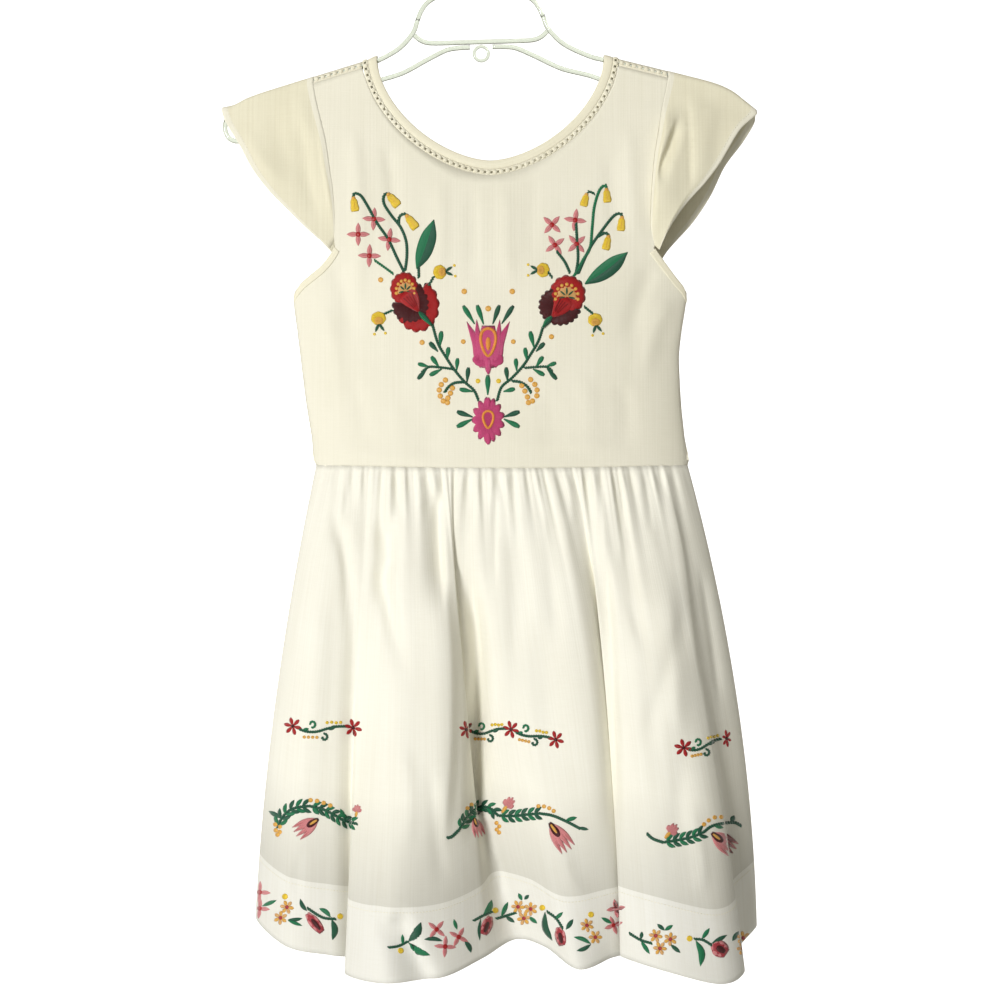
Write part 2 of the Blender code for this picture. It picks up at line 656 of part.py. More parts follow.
def build_cloth(cloth, trim):
    """All the sewn pieces."""
    neck_strip("neck_binding", 0.0, BINDING_WIDTH, CLOTH, trim)
    neck_strip("neck_insertion", BINDING_WIDTH + SEAM, INSERTION_WIDTH, 1.0, trim)
    bodice("bodice_front", -1, front_side, cloth)
    bodice("bodice_back", 1, back_side, cloth)
    reach = NECK_HALF_WIDTH + BINDING_WIDTH + INSERTION_WIDTH + 2.0 * SEAM
    shoulder_trim("shoulder_trim_left", NECK_MIDDLE - reach, SHOULDER_LEFT + 0.15, trim)
    shoulder_trim("shoulder_trim_right", NECK_MIDDLE + reach, SHOULDER_RIGHT - 0.15, trim)
    sleeve("sleeve_left", -1, SLEEVE_LEFT_FRONT, SLEEVE_LEFT_BACK, cloth)
    sleeve("sleeve_right", 1, SLEEVE_RIGHT_FRONT, SLEEVE_RIGHT_BACK, cloth)
    arm_binding("armhole_binding_left", -1, UNDERARM_LEFT, trim)
    arm_binding("armhole_binding_right", 1, UNDERARM_RIGHT, trim)
    skirt("skirt_front", FRONT_FOLDS, -1, front_side, FRONT_GATHERS, FRONT_ROWS, cloth)
    skirt("skirt_back", BACK_FOLDS, 1, back_side, BACK_GATHERS, BACK_ROWS, cloth)


def build_hanger(plastic):
    """The hanger's rods."""
    hanger_hook(plastic)
    hanger_dome(plastic)
    hanger_crossbar(plastic)
    hanger_loop(plastic)
    hanger_arm("hanger_arm_left", -1, plastic)
    hanger_arm("hanger_arm_right", 1, plastic)


clear_scene()
GARMENT = bpy.data.collections.new("embroidered_dress_on_hanger")
bpy.context.scene.collection.children.link(GARMENT)
build_cloth(make_material("cream cotton", CREAM, 0.9), make_material("white trim", WHITE_TRIM, 0.8))
build_hanger(make_material("clear plastic", CLEAR_PLASTIC, 0.15))
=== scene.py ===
# %% [markdown]
# # A child's embroidered cotton dress on a clear hanger
#
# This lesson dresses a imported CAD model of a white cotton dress. Every solid of the model keeps its
# place, and each cell here gives one piece its real look: thin cloth with gathers and creases, raised
# thread, an openwork trim and a clear plastic hanger.

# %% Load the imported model
import math

import bmesh
import bpy
import numpy as np
from mathutils import Matrix, Vector
from mathutils.bvhtree import BVHTree


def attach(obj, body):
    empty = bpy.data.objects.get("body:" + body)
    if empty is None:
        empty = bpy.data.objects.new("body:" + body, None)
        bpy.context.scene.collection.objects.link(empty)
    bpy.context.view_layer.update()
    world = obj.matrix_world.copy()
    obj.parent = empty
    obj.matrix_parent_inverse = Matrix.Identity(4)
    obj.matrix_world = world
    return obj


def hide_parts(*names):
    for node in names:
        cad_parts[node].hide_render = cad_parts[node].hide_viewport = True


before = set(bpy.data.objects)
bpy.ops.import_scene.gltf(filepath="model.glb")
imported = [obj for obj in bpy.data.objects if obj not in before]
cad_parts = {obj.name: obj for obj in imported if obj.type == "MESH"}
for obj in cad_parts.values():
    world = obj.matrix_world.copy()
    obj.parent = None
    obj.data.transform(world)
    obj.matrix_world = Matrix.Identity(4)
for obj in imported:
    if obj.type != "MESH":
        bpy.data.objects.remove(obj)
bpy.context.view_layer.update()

MM = 0.001
print("CAD nodes:", len(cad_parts))

# %% [markdown]
# ## The camera and the photograph's scale
#
# The photograph was taken level with the waist. One of its pixels is 0.84 mm wide at the dress's
# middle plane, so a place that is read off the photograph in pixels becomes millimetres with one
# function, and another function turns it round to say where a point of the dress is seen.

# %% Camera
PIXEL = 0.84                                        # millimetres
PICTURE_MIDDLE = 500.0                              # pixels
SEEN_MIDDLE = np.array((19.3, -497.3))
CAMERA_AWAY = 1400.0


def seen_at(points):
    """Where points in millimetres are seen in the photograph, in its pixels."""
    near = CAMERA_AWAY / (CAMERA_AWAY + points[..., 1]) / PIXEL
    across = PICTURE_MIDDLE + (points[..., 0] - SEEN_MIDDLE[0]) * near
    down = PICTURE_MIDDLE - (points[..., 2] - SEEN_MIDDLE[1]) * near
    return across, down


camera_data = bpy.data.cameras.new("camera")
camera_data.lens = 60.0
camera_data.sensor_width = 36.0
camera = bpy.data.objects.new("camera", camera_data)
camera.location = Vector((SEEN_MIDDLE[0], -CAMERA_AWAY, SEEN_MIDDLE[1])) * MM
camera.rotation_euler = (math.radians(90.0), 0.0, 0.0)
bpy.context.scene.collection.objects.link(camera)
bpy.context.scene.camera = camera

# %% [markdown]
# ## Paint: one helper for colours and one for nodes
#
# Colours are written as the sRGB hex values that the eye matches in a photograph, and the shader
# needs them linear. A material is a handful of nodes, so one small function adds any node, sets its
# values and links its inputs.

# %% Helpers for materials


def colour(code):
    """An sRGB hex value as linear red, green and blue."""
    parts = [int(code[place:place + 2], 16) / 255.0 for place in (1, 3, 5)]
    return tuple(p / 12.92 if p <= 0.04045 else ((p + 0.055) / 1.055) ** 2.4 for p in parts) + (1.0,)


def add_node(material, kind, settings=None, **links):
    """Add a node, set its properties and values, and link its named inputs."""
    node = material.node_tree.nodes.new(kind)
    for name, value in (settings or {}).items():
        if hasattr(node, name):
            setattr(node, name, value)
        else:
            node.inputs[name].default_value = value
    for name, source in links.items():
        material.node_tree.links.new(source, node.inputs[name.replace("_", " ")])
    return node


def new_finish(name, **values):
    """A material with its Principled shader's own sockets set, and that shader."""
    material = bpy.data.materials.new(name)
    material.use_nodes = True
    shader = material.node_tree.nodes["Principled BSDF"]
    for socket, value in values.items():
        shader.inputs[socket.replace("_", " ")].default_value = value
    return material, shader


def link(material, source, target):
    """Join one node's output to another node's input."""
    material.node_tree.links.new(source, target)


def weighted_sum(material, first, weight, second):
    """One value times a weight, plus another value."""
    node = add_node(material, "ShaderNodeMath", {"operation": "MULTIPLY_ADD"})
    link(material, first, node.inputs[0])
    node.inputs[1].default_value = weight
    link(material, second, node.inputs[2])
    return node.outputs["Value"]


def blend_colours(material, shader, value, ends, low, high):
    """Paint the shader from one colour to another while a value runs between two ends."""
    ramp = add_node(material, "ShaderNodeMapRange", {"From Min": ends[0], "From Max": ends[1]},
                    Value=value)
    mix = add_node(material, "ShaderNodeMix", {"data_type": "RGBA"})
    mix.inputs[6].default_value = low
    mix.inputs[7].default_value = high
    link(material, ramp.outputs["Result"], mix.inputs[0])
    link(material, mix.outputs[2], shader.inputs["Base Color"])


def emboss(material, shader, height, strength, distance):
    """Raise the surface by a distance in metres where a value is high."""
    bump = add_node(material, "ShaderNodeBump", {"Strength": strength, "Distance": distance},
                    Height=height)
    link(material, bump.outputs["Normal"], shader.inputs["Normal"])


# %% [markdown]
# ## Cotton voile
#
# The cloth is a plain-woven cotton voile: very fine, slightly uneven threads, matt, with soft
# upright slubs where a thread is thicker. The real threads are 0.3 mm apart, too fine for the
# picture, so the weave is drawn at 0.9 mm and kept faint. The cream of the body and the whiter hem,
# where the cloth lies double, are two colours of one cloth. The skirt's voile is whiter, as painted
# light, and the sleeves' voile is darker and yellower, as painted shade. Above the hem the skirt's
# colour is darkened, as painted shade.

# %% Cotton materials
SLUB_SCALE = (650.0, 9.0, 1.0)                      # spots to a metre, across and along
WEFT_SCALE = (60.0, 1100.0, 1.0)
# Painted shade: the zone above the hem where the skirt's colour is darkened.
PAINTED_SHADE_ABOVE_HEM = (0.056, 0.14)                        # metres above the skirt's lower edge


def cotton(name, light, shade, loose=False):
    """Woven cotton with upright slubs, read from the piece's own UV map, which is in metres.

    Loose threads have no UV map, so theirs are read from the object's coordinates.
    """
    material, shader = new_finish(name, Roughness=0.9, Sheen_Weight=0.12, Sheen_Roughness=0.5,
                                  Specular_IOR_Level=0.2)
    if loose:
        place = add_node(material, "ShaderNodeTexCoord").outputs["Object"]
    else:
        place = add_node(material, "ShaderNodeUVMap").outputs["UV"]
    upright = add_node(material, "ShaderNodeMapping", {"Scale": SLUB_SCALE}, Vector=place)
    slubs = add_node(material, "ShaderNodeTexNoise", {"Scale": 1.0, "Detail": 2.0},
                     Vector=upright.outputs["Vector"])
    fine = add_node(material, "ShaderNodeMapping", {"Scale": WEFT_SCALE}, Vector=place)
    wefts = add_node(material, "ShaderNodeTexNoise", {"Scale": 1.0, "Detail": 1.0},
                     Vector=fine.outputs["Vector"])
    cloudy = add_node(material, "ShaderNodeTexNoise", {"Scale": 11.0, "Detail": 2.0}, Vector=place)
    threads = weighted_sum(material, wefts.outputs["Fac"], 0.4, slubs.outputs["Fac"])
    uneven = weighted_sum(material, cloudy.outputs["Fac"], 1.0, threads)
    blend_colours(material, shader, uneven, (0.85, 1.55), colour(shade), colour(light))
    emboss(material, shader, threads, 0.35, 0.0004)
    return material


def paint_shade_above_hem(material, start, end, dark):
    """Paint shade on the single layer above the hem: its colour is darkened for the skirt's shaded
    inside seen through the cloth.
    """
    shader = material.node_tree.nodes["Principled BSDF"]
    before = shader.inputs["Base Color"].links[0].from_socket
    parts = add_node(material, "ShaderNodeSeparateXYZ",
                     Vector=add_node(material, "ShaderNodeUVMap").outputs["UV"])
    zone = add_node(material, "ShaderNodeMapRange", {"From Min": start, "From Max": end,
                                                     "To Min": 1.0, "To Max": 0.0},
                    Value=parts.outputs["Y"])
    darker = add_node(material, "ShaderNodeMix", {"data_type": "RGBA", "blend_type": "MULTIPLY"})
    darker.inputs[7].default_value = colour(dark)
    link(material, zone.outputs["Result"], darker.inputs[0])
    link(material, before, darker.inputs[6])
    link(material, darker.outputs[2], shader.inputs["Base Color"])


body_voile = cotton("cotton voile of the body", "#F0ECDB", "#E9E5D2")
# Painted shade: the sleeves' voile is darker and yellower than the body's, for the dimmer light at the
# top of the dress and the shaded inside seen through its single layer.
sleeve_voile_painted_shade = cotton("cotton voile of the sleeves, one layer, with painted shade", "#ECE7CF", "#E2DCC2")
# Painted light: the skirt's voile is whiter than the body's, for the stronger light on the skirt.
skirt_voile_painted_light_and_shade = cotton("cotton voile of the skirt, with painted light and shade", "#F6F4E8", "#EFECDE")
# Painted shade: above the hem the skirt's colour is darkened, for its shaded inside seen through the
# cloth.
paint_shade_above_hem(skirt_voile_painted_light_and_shade, *PAINTED_SHADE_ABOVE_HEM, "#E0E0E1")
hem_voile = cotton("cotton voile, double at the hem", "#EEEDE6", "#E7E5DB")
binding_cotton = cotton("cotton bias binding", "#F3EED8", "#EAE4CB")
trim_thread = cotton("cotton trim thread, mercerised", "#F4F0DE", "#E6E0C8", loose=True)

# %% [markdown]
# ## Smooth curves and grids
#
# A pattern cutter gives a line a few points and draws a smooth curve through them. The same is done
# here: a short table of rows is read with a Catmull-Rom curve, and a table of lines becomes a smooth
# surface when it is read that way in both directions.

# %% Curves through tables


def four_weights(part):
    """Shares of four neighbouring rows at a place between the middle two."""
    return np.array((-part + 2 * part ** 2 - part ** 3, 2 - 5 * part ** 2 + 3 * part ** 3,
                     part + 4 * part ** 2 - 3 * part ** 3, part ** 3 - part ** 2)) * 0.5


def padded_rows(rows, ring):
    """The rows with one more at each end: the next round of a ring, or the end mirrored."""
    if ring:
        return np.concatenate((rows[-1:], rows, rows[:2]))
    return np.concatenate((2 * rows[:1] - rows[1:2], rows, 2 * rows[-1:] - rows[-2:-1]))


def along(table, share):
    """Points of a smooth curve through the table's rows, at shares of its length."""
    rows = padded_rows(np.asarray(table, dtype=float), False)
    place = np.clip(share, 0.0, 1.0) * (len(table) - 1)
    start = np.minimum(place.astype(int), len(table) - 2)
    weights = four_weights(place - start)
    return sum(weights[step][..., None] * rows[start + step] for step in range(4))


def on_grid(grid, down, across, ring=False):
    """Points of a smooth surface through a grid of points, rows first."""
    spans = (len(grid) if ring else len(grid) - 1, grid.shape[1] - 1)
    rows = padded_rows(grid, ring)
    rows = np.swapaxes(padded_rows(np.swapaxes(rows, 0, 1), False), 0, 1)
    starts = []
    weights = []
    for share, count in zip((down, across), spans):
        place = np.clip(share, 0.0, 1.0) * count
        start = np.minimum(place.astype(int), count - 1)
        starts.append(start)
        weights.append(four_weights(place - start))
    points = 0.0
    for i in range(4):
        for j in range(4):
            share = (weights[0][i] * weights[1][j])[..., None]
            points = points + share * rows[starts[0] + i, starts[1] + j]
    return points


# %% [markdown]
# ## Where the cloth lies
#
# The dress hangs on a rail of rods, so its upper edge runs a cloth's thickness above them. Below
# that edge the body fills out: its half depth is read from a short table and falls to nothing at
# the side seams. These tables and sizes, in millimetres, are the maker's pattern for the solids,
# and they are repeated so that the thin cloth lies where the solid cloth is.

# %% Sizes of the hanger and the body
CLOTH = 1.2
SEAM = 0.02
FOLD_RADIUS = 4.5
NECK_MIDDLE = 11.3
NECK_LEVEL = -127.7
NECK_HALF_WIDTH = 95.0
NECK_DEPTH = 86.5
NECK_ROUNDNESS = 1.7
BINDING_WIDTH = 7.5
INSERTION_WIDTH = 5.0
SHOULDER_TRIM_DROP = 7.0
ARM_BINDING_WIDTH = 6.0
CLOTH_IN_BINDING = 1.0                              # from the binding's fold to the cloth
ARMHOLE_STEPS = 7
ARMHOLE_SEWN = 0.975
SHOULDER = {-1: -137.0, 1: 160.0}
NECK_SPREAD = ((0, 0.20), (8, 0.62), (12, 0.95), (18, 1.25), (23, math.pi / 2))
LINE_BEND = ((0, 0.0), (7, 0.0), (10, 1.0), (18, 0.9), (23, 0.0))
FOLD_DROPS = (0.0, 0.9, 2.2)                        # where the top fold's roundness is read
WAIST_SAG = 3.0
HANGER_TILT = math.radians(1.7)
ROD_RADIUS = 2.0
HOOK_RADIUS = 2.5
HOOK_INSIDE = 22.5
RAIL_TO_CLOTH = ROD_RADIUS + CLOTH + 0.8

UPPER_RAIL = ((52.8, -93.0), (57.0, -103.5), (69.5, -116.5), (90.0, -127.0), (104.0, -131.2),
              (141.0, -141.5), (182.0, -153.0), (197.0, -158.0))
RAIL_END = ((208.0, -163.5), (215.0, -171.0), (217.0, -179.5), (213.5, -187.5), (206.0, -190.0))
LOWER_RAIL = ((196.0, -187.0), (150.0, -168.0), (110.0, -151.5), (90.0, -143.5), (67.0, -137.0),
              (46.0, -126.5), (30.0, -119.0), (20.0, -117.3), (9.5, -117.0))
DOME = ((52.6, -92.5), (49.0, -84.5), (43.0, -77.5), (32.0, -72.0), (17.0, -68.3), (0.0, -67.0))
CROSSBAR = ((55.6, -105.5), (52.0, -108.9), (46.5, -111.6), (38.0, -112.6), (16.0, -112.6),
            (0.0, -112.6))

# z, left x, right x of the body's side lines, from the waist up
SIDE_LINES = np.array(((-468, -135.0, 177.0), (-413, -144.0, 171.0), (-371, -149.0, 169.5),
                       (-327, -154.5, 176.5), (-300, -167.0, 189.0), (-260, -205.0, 227.0),
                       (-214, -290.0, 312.0), (-130, -590.0, 612.0)))
# z and half depth of the body's middle, from the waist up
BODY_DEPTH = np.array(((-470, 27.0), (-400, 25.0), (-330, 22.0), (-300, 20.0), (-260, 16.0),
                       (-214, 11.0), (-160, 6.0), (-130, 4.5)))
# x, z of the armhole edges, then of the lower armhole, on the left (-1) and the right (1)
ARMHOLE = {-1: ((-137.0, -150.0), (-132.7, -170.0), (-126.4, -195.0), (-121.8, -226.0),
                (-118.6, -251.0), (-118.6, -286.4)),
           1: ((160.0, -147.0), (155.5, -165.0), (151.5, -189.0), (147.0, -220.0),
               (144.5, -266.3), (148.5, -288.0))}
UNDERARM = {-1: ((-118.6, -286.4), (-122.0, -293.0), (-131.0, -303.5), (-146.6, -315.8),
                 (-153.9, -326.0)),
            1: ((148.5, -288.0), (155.5, -297.4), (166.3, -311.3), (173.0, -319.0),
                (176.0, -326.0))}
# x, z, depth of the sleeves' outer edges: front and back, for the left and the right
SLEEVE_EDGE = {
    (-1, -1): ((-213.0, -174.5, 4.5), (-209.0, -183.5, 5.0), (-196.3, -204.1, 6.5),
               (-182.3, -229.0, 9.0), (-162.1, -250.7, 11.0), (-143.5, -269.4, 13.0),
               (-122.0, -288.5, 15.0)),
    (-1, 1): ((-213.0, -174.5, 4.5), (-208.0, -184.0, 5.5), (-194.3, -204.0, 8.0),
              (-180.3, -228.0, 11.0), (-160.1, -249.7, 13.0), (-141.5, -268.4, 14.0),
              (-122.0, -288.5, 15.0)),
    (1, -1): ((233.0, -175.5, 4.8), (219.2, -188.6, 8.0), (200.6, -219.7, 11.0),
              (186.0, -238.0, 13.0), (175.6, -249.1, 14.0), (162.0, -268.0, 15.0),
              (151.5, -289.5, 16.0)),
    (1, 1): ((235.0, -177.7, 4.8), (224.0, -196.0, 6.0), (206.5, -220.0, 8.5),
             (193.0, -249.0, 11.0), (174.0, -272.0, 13.0), (163.0, -284.0, 14.0),
             (155.5, -295.0, 15.0))}
SLEEVE_TIP = {-1: (-213.5, -167.5), 1: (234.5, -169.5)}

# %% Shape of the body


def tilt(points):
    """Turn points (x, z) of the upright hanger about the closet rail, as it hangs."""
    points = np.asarray(points, dtype=float)
    cosine = math.cos(HANGER_TILT)
    sine = math.sin(HANGER_TILT)
    return np.column_stack((points[:, 0] * cosine - points[:, 1] * sine,
                            points[:, 0] * sine + points[:, 1] * cosine))


def mirrored_table(table, side):
    """A hanger table for the right (1) or the left (-1)."""
    return np.array(table) * (side, 1.0)


def rail_line(side):
    """The cloth's upper edge over one rail, from the neck outwards to the sleeve's tip."""
    path = along(mirrored_table(UPPER_RAIL + RAIL_END[:2], side), np.linspace(0, 1, 25))[:-2]
    axis = tilt(path)
    way = np.gradient(axis, axis=0)
    way /= np.linalg.norm(way, axis=1, keepdims=True)
    upward = np.column_stack((-side * way[:, 1], side * way[:, 0]))
    return np.vstack((axis + upward * RAIL_TO_CLOTH, SLEEVE_TIP[side]))


RAIL_LINES = {side: rail_line(side) for side in (-1, 1)}


def top_line(x):
    """Height of the dress's upper edge."""
    heights = [np.interp(x * side, RAIL_LINES[side][:, 0] * side, RAIL_LINES[side][:, 1])
               for side in (-1, 1)]
    return np.where(x < NECK_MIDDLE, heights[0], heights[1])


def body_depth(x, z):
    """Distance of the body from the middle plane, nothing at the top fold and the side seams."""
    left = np.interp(z, SIDE_LINES[:, 0], SIDE_LINES[:, 1])
    right = np.interp(z, SIDE_LINES[:, 0], SIDE_LINES[:, 2])
    across = np.minimum(np.abs(x - 0.5 * (left + right)) / (0.5 * (right - left)), 1.0)
    drop = np.maximum(top_line(x) - z, 0.0)
    fold = np.sqrt(FOLD_RADIUS ** 2 - np.maximum(FOLD_RADIUS - drop, 0.0) ** 2)
    extra = (np.interp(z, BODY_DEPTH[:, 0], BODY_DEPTH[:, 1]) - FOLD_RADIUS)
    extra = np.maximum(extra * np.minimum(drop / 18.0, 1.0), 0.0)
    return (fold + extra) * (1.0 - across ** 2.4) ** 0.6


print("Upper edge at the neck:", round(float(top_line(np.array(-84.0))), 1), "mm")

# %% [markdown]
# ## A sheet of cloth from a grid
#
# Each piece of cloth starts as a flat bmesh grid. Every point of the grid knows its share across and
# down, and one function of those two shares says where the point lies on the dress. The share also
# makes the UV map, in metres of cloth, so that the weave keeps its real size. A Solidify modifier
# then gives the thin sheet its thickness, inwards.

# %% Making cloth
VOILE_THICKNESS = 0.5
BINDING_THICKNESS = 1.0
PIECES = {}


def cloth_piece(name, segments, place, cut, finish, nodes, around=False, thick=None,
                folded=1.0):
    """A sheet from a flat grid: place gives points in millimetres from shares across and down."""
    bm = bmesh.new()
    maps = bm.loops.layers.uv.new("cloth")
    bmesh.ops.create_grid(bm, x_segments=segments[0], y_segments=segments[1], size=0.5)
    flat = np.array([vertex.co[:2] for vertex in bm.verts]) + 0.5
    points = place(flat[:, 0], flat[:, 1])
    metres = flat * (cut[0] / folded, cut[1])
    for face in bm.faces:
        for loop in face.loops:
            loop[maps].uv = metres[loop.vert.index]
    for vertex, point in zip(bm.verts, points):
        vertex.co = point * MM
    if around:
        bmesh.ops.remove_doubles(bm, verts=bm.verts, dist=0.01 * MM)
    area = sum(face.calc_area() for face in bm.faces)
    turn_outwards(bm)
    thing = new_piece(name, bm, [finish])
    wall = thing.modifiers.new("thickness", "SOLIDIFY")
    wall.thickness = (thick or VOILE_THICKNESS) * MM
    wall.offset = -1.0
    wall.use_even_offset = False
    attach(thing, "root")
    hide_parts(*nodes)
    PIECES[name] = thing
    print(name, "area", round(area, 4), "of cut", round(cut[0] * cut[1], 4), "square metres")
    return thing


def hem_band(thing, finish, *ranges):
    """Give the parts of a cloth between two heights of its cut, in metres, another finish."""
    thing.data.materials.append(finish)
    maps = thing.data.uv_layers[0].data
    for polygon in thing.data.polygons:
        middle = sum(maps[loop].uv[1] for loop in polygon.loop_indices) / polygon.loop_total
        if any(low < middle < high for low, high in ranges):
            polygon.material_index = 1


def map_from_front(thing):
    """Make the front view, in metres, a cloth's UV map, so that its threads hang upright."""
    for corner, loop in zip(thing.data.uv_layers["cloth"].data, thing.data.loops):
        place = thing.data.vertices[loop.vertex_index].co
        corner.uv = (place.x, place.z)


def turn_outwards(bm):
    """Turn all faces one way, away from the dress's middle plane and inside."""
    bmesh.ops.recalc_face_normals(bm, faces=bm.faces)
    middle = sum((vertex.co for vertex in bm.verts), Vector()) / len(bm.verts)
    middle.y = 0.0
    outward = sum(face.normal.dot(face.calc_center_median() - middle) * face.calc_area()
                  for face in bm.faces)
    if outward < 0.0:
        bmesh.ops.reverse_faces(bm, faces=bm.faces)


def new_piece(name, bm, finishes):
    """Make a smooth object from a bmesh, with its materials in their slots."""
    mesh = bpy.data.meshes.new(name)
    bm.to_mesh(mesh)
    bm.free()
    for finish in finishes:
        mesh.materials.append(finish)
    mesh.shade_smooth()
    thing = bpy.data.objects.new(name, mesh)
    bpy.context.scene.collection.objects.link(thing)
    return thing


# %% [markdown]
# ## Creases
#
# Cloth on a hanger is never even. Each crease is a row of a table: the points that it runs through in
# the photograph, in pixels, its height in millimetres (a trough is negative) and how far it reaches to
# its left and its right, in pixels. A fold that is crisp on one side has a short reach there.

# %% Creases


def crease_rise(points, creases):
    """How far the creases lift points of the cloth, from where the points are seen."""
    across, down = seen_at(points)
    rise = np.zeros(len(points))
    for line, height, left, right in creases:
        path = along(line, np.linspace(0.0, 1.0, 5 * len(line)))
        apart = (across[:, None] - path[:, 0]) ** 2 + (down[:, None] - path[:, 1]) ** 2
        nearest = apart.argmin(axis=1)
        way = np.gradient(path, axis=0)
        step = np.linalg.norm(way, axis=1)
        way /= step[:, None]
        off_x = across - path[nearest, 0]
        off_y = down - path[nearest, 1]
        side = way[nearest, 0] * off_y - way[nearest, 1] * off_x
        ahead = way[nearest, 0] * off_x + way[nearest, 1] * off_y
        reach = np.where(side > 0.0, left, right)
        share = (nearest + ahead / step[nearest]) / (len(path) - 1)
        ends = np.clip(4.5 * share, 0.0, 1.0) * np.clip(3.0 * (1.0 - share), 0.0, 1.0)
        ends = ends * ends * (3.0 - 2.0 * ends)
        rise += height * np.exp(-(side / reach) ** 2) * ends
    return rise


def behind(creases, turned_about, lower, times=1.0):
    """Creases of the front turned round for the back, some pixels lower."""
    return tuple((tuple((turned_about - x, y + lower) for x, y in line), times * height, right, left)
                 for line, height, left, right in creases)


def deeper(creases, times):
    """The same creases, some times as high."""
    return tuple((line, height * times, left, right) for line, height, left, right in creases)


BODY_CREASES = (
    (((386, 140), (392, 190), (396, 260)), -0.9, 6, 9),
    (((352, 120), (358, 180), (360, 260), (352, 330)), 0.8, 9, 7),
    (((437, 175), (441, 230), (438, 300)), 0.7, 7, 7),
    (((470, 180), (474, 240), (470, 290)), -0.6, 8, 6),
    (((508, 178), (506, 240), (512, 300)), 0.7, 8, 8),
    (((536, 170), (532, 215), (528, 262)), -0.6, 7, 7),
    (((628, 120), (632, 190), (638, 250)), 0.9, 8, 10),
    (((610, 150), (612, 200), (618, 240)), -0.7, 8, 8),
    (((655, 262), (640, 300), (628, 350)), -1.2, 10, 8),
    (((672, 300), (655, 330), (640, 390)), 1.0, 9, 9),
    (((332, 262), (345, 300), (352, 352)), -1.1, 8, 10),
    (((318, 300), (332, 340), (342, 400)), 0.9, 8, 8),
    (((350, 372), (362, 410), (366, 458)), -0.8, 9, 7),
    (((395, 400), (398, 430), (396, 462)), 0.6, 7, 7),
    (((427, 415), (430, 440), (428, 464)), -0.7, 6, 6),
    (((548, 392), (552, 430), (550, 464)), -0.7, 7, 7),
    (((584, 372), (590, 420), (588, 464)), 0.7, 9, 8),
    (((622, 380), (626, 420), (622, 462)), -0.8, 8, 9),
    (((500, 448), (560, 444), (640, 450)), 0.5, 8, 8),
    (((330, 452), (390, 456), (450, 460)), 0.5, 8, 8),
)
BACK_CREASES = behind(BODY_CREASES[1:], 977, 8, -1.0)

# %% [markdown]
# ## Front and back of the body
#
# The pattern piece runs from the neck trim out to the armholes, the sides and the waist. The lines of
# its grid leave the neckline downwards and bend out to the edge, which keeps the openings smooth.
# Its upright thread direction is the dress's own, so its UV map is the front view.

# %% Body


def neck_point(angle, outward):
    """Points of the neckline in front view, moved outward, from the left at angle nothing."""
    power = 2.0 / NECK_ROUNDNESS
    cosine = np.cos(angle)
    x = NECK_MIDDLE - np.sign(cosine) * np.abs(cosine) ** power * (NECK_HALF_WIDTH + outward)
    z = NECK_LEVEL - np.abs(np.sin(angle)) ** power * (NECK_DEPTH + outward)
    return x, np.minimum(z, top_line(x))


def armhole_line(side, count):
    """Points of an armhole seam, from the shoulder trim's lower edge to the sleeve's end."""
    line = along(ARMHOLE[side], ARMHOLE_SEWN * np.linspace(0.0, 1.0, count + 1))
    line[0, 1] = top_line(line[0, 0]) - SHOULDER_TRIM_DROP - SEAM
    return line


def underarm_line(side, count, inward):
    """Points at a distance in from the lower armhole's edge."""
    share = np.linspace(0.0, 1.0, count + 1)
    slant = 1.0 - share
    way = np.column_stack((-side * 0.75 * slant, -1.0 + 0.25 * slant))
    way /= np.linalg.norm(way, axis=1, keepdims=True)
    return along(UNDERARM[side], share) + way * inward


def side_line(side, count):
    """Points of a side seam from the underarm to the waist."""
    top = UNDERARM[-1][-1][1] - ARM_BINDING_WIDTH - SEAM
    z = top + (waist_height(0.0) + 0.5 * SEAM - top) * np.linspace(0.0, 1.0, count + 1)
    return np.column_stack((np.interp(z, SIDE_LINES[:, 0], SIDE_LINES[:, 1 if side < 0 else 2]), z))


def waist_height(share):
    """Height of the waist seam, which sags a little in the middle."""
    return SIDE_LINES[0, 0] - WAIST_SAG * np.sin(np.pi * share)


def body_outline():
    """The body's outer edge: from the left shoulder down, along the waist and up the right."""
    halves = {}
    for side in (-1, 1):
        arm = armhole_line(side, ARMHOLE_STEPS) - (side * 0.5 * SEAM, 0.0)
        under = underarm_line(side, 4, CLOTH_IN_BINDING)
        halves[side] = np.vstack((arm, under, side_line(side, 6)[1:]))
    share = np.linspace(0.0, 1.0, 11)[1:-1]
    mixed = 0.6 * share + 0.4 * (0.5 - 0.5 * np.cos(np.pi * share))
    width = SIDE_LINES[0, 2] - SIDE_LINES[0, 1]
    waist = np.column_stack((SIDE_LINES[0, 1] + width * mixed, waist_height(mixed) + 0.5 * SEAM))
    return np.vstack((halves[-1], waist, halves[1][::-1]))


def body_lines():
    """The grid of the body in front view: a row for each line from the neck to the outline."""
    start = BINDING_WIDTH + INSERTION_WIDTH + 2.0 * SEAM
    outline = body_outline()
    last = len(outline) - 1
    turn = np.arange(last + 1)
    from_end = np.minimum(turn, last - turn)
    angle = np.interp(from_end, *zip(*NECK_SPREAD))
    angle = np.where(2 * turn > last, np.pi - angle, angle)
    inner = np.column_stack(neck_point(angle, start))
    for end, side in ((0, -1), (last, 1)):
        inner[end, 0] = NECK_MIDDLE + side * (NECK_HALF_WIDTH + start)
        inner[end, 1] = top_line(inner[end, 0]) - SHOULDER_TRIM_DROP - SEAM
    bend = np.interp(from_end, *zip(*LINE_BEND))[:, None]
    bent = inner + (outline - inner) * (0.3, 0.75)
    middle = 0.5 * (inner + outline) * (1.0 - bend) + bent * bend
    out = (1.0 - (1.0 - np.linspace(0.0, 1.0, 7)) ** 1.45)[None, :, None]
    return ((1.0 - out) ** 2 * inner[:, None] + 2.0 * out * (1.0 - out) * middle[:, None]
            + out ** 2 * outline[:, None])


BODY_LINES = body_lines()
BODY_CREASE_DEPTH = 1.7


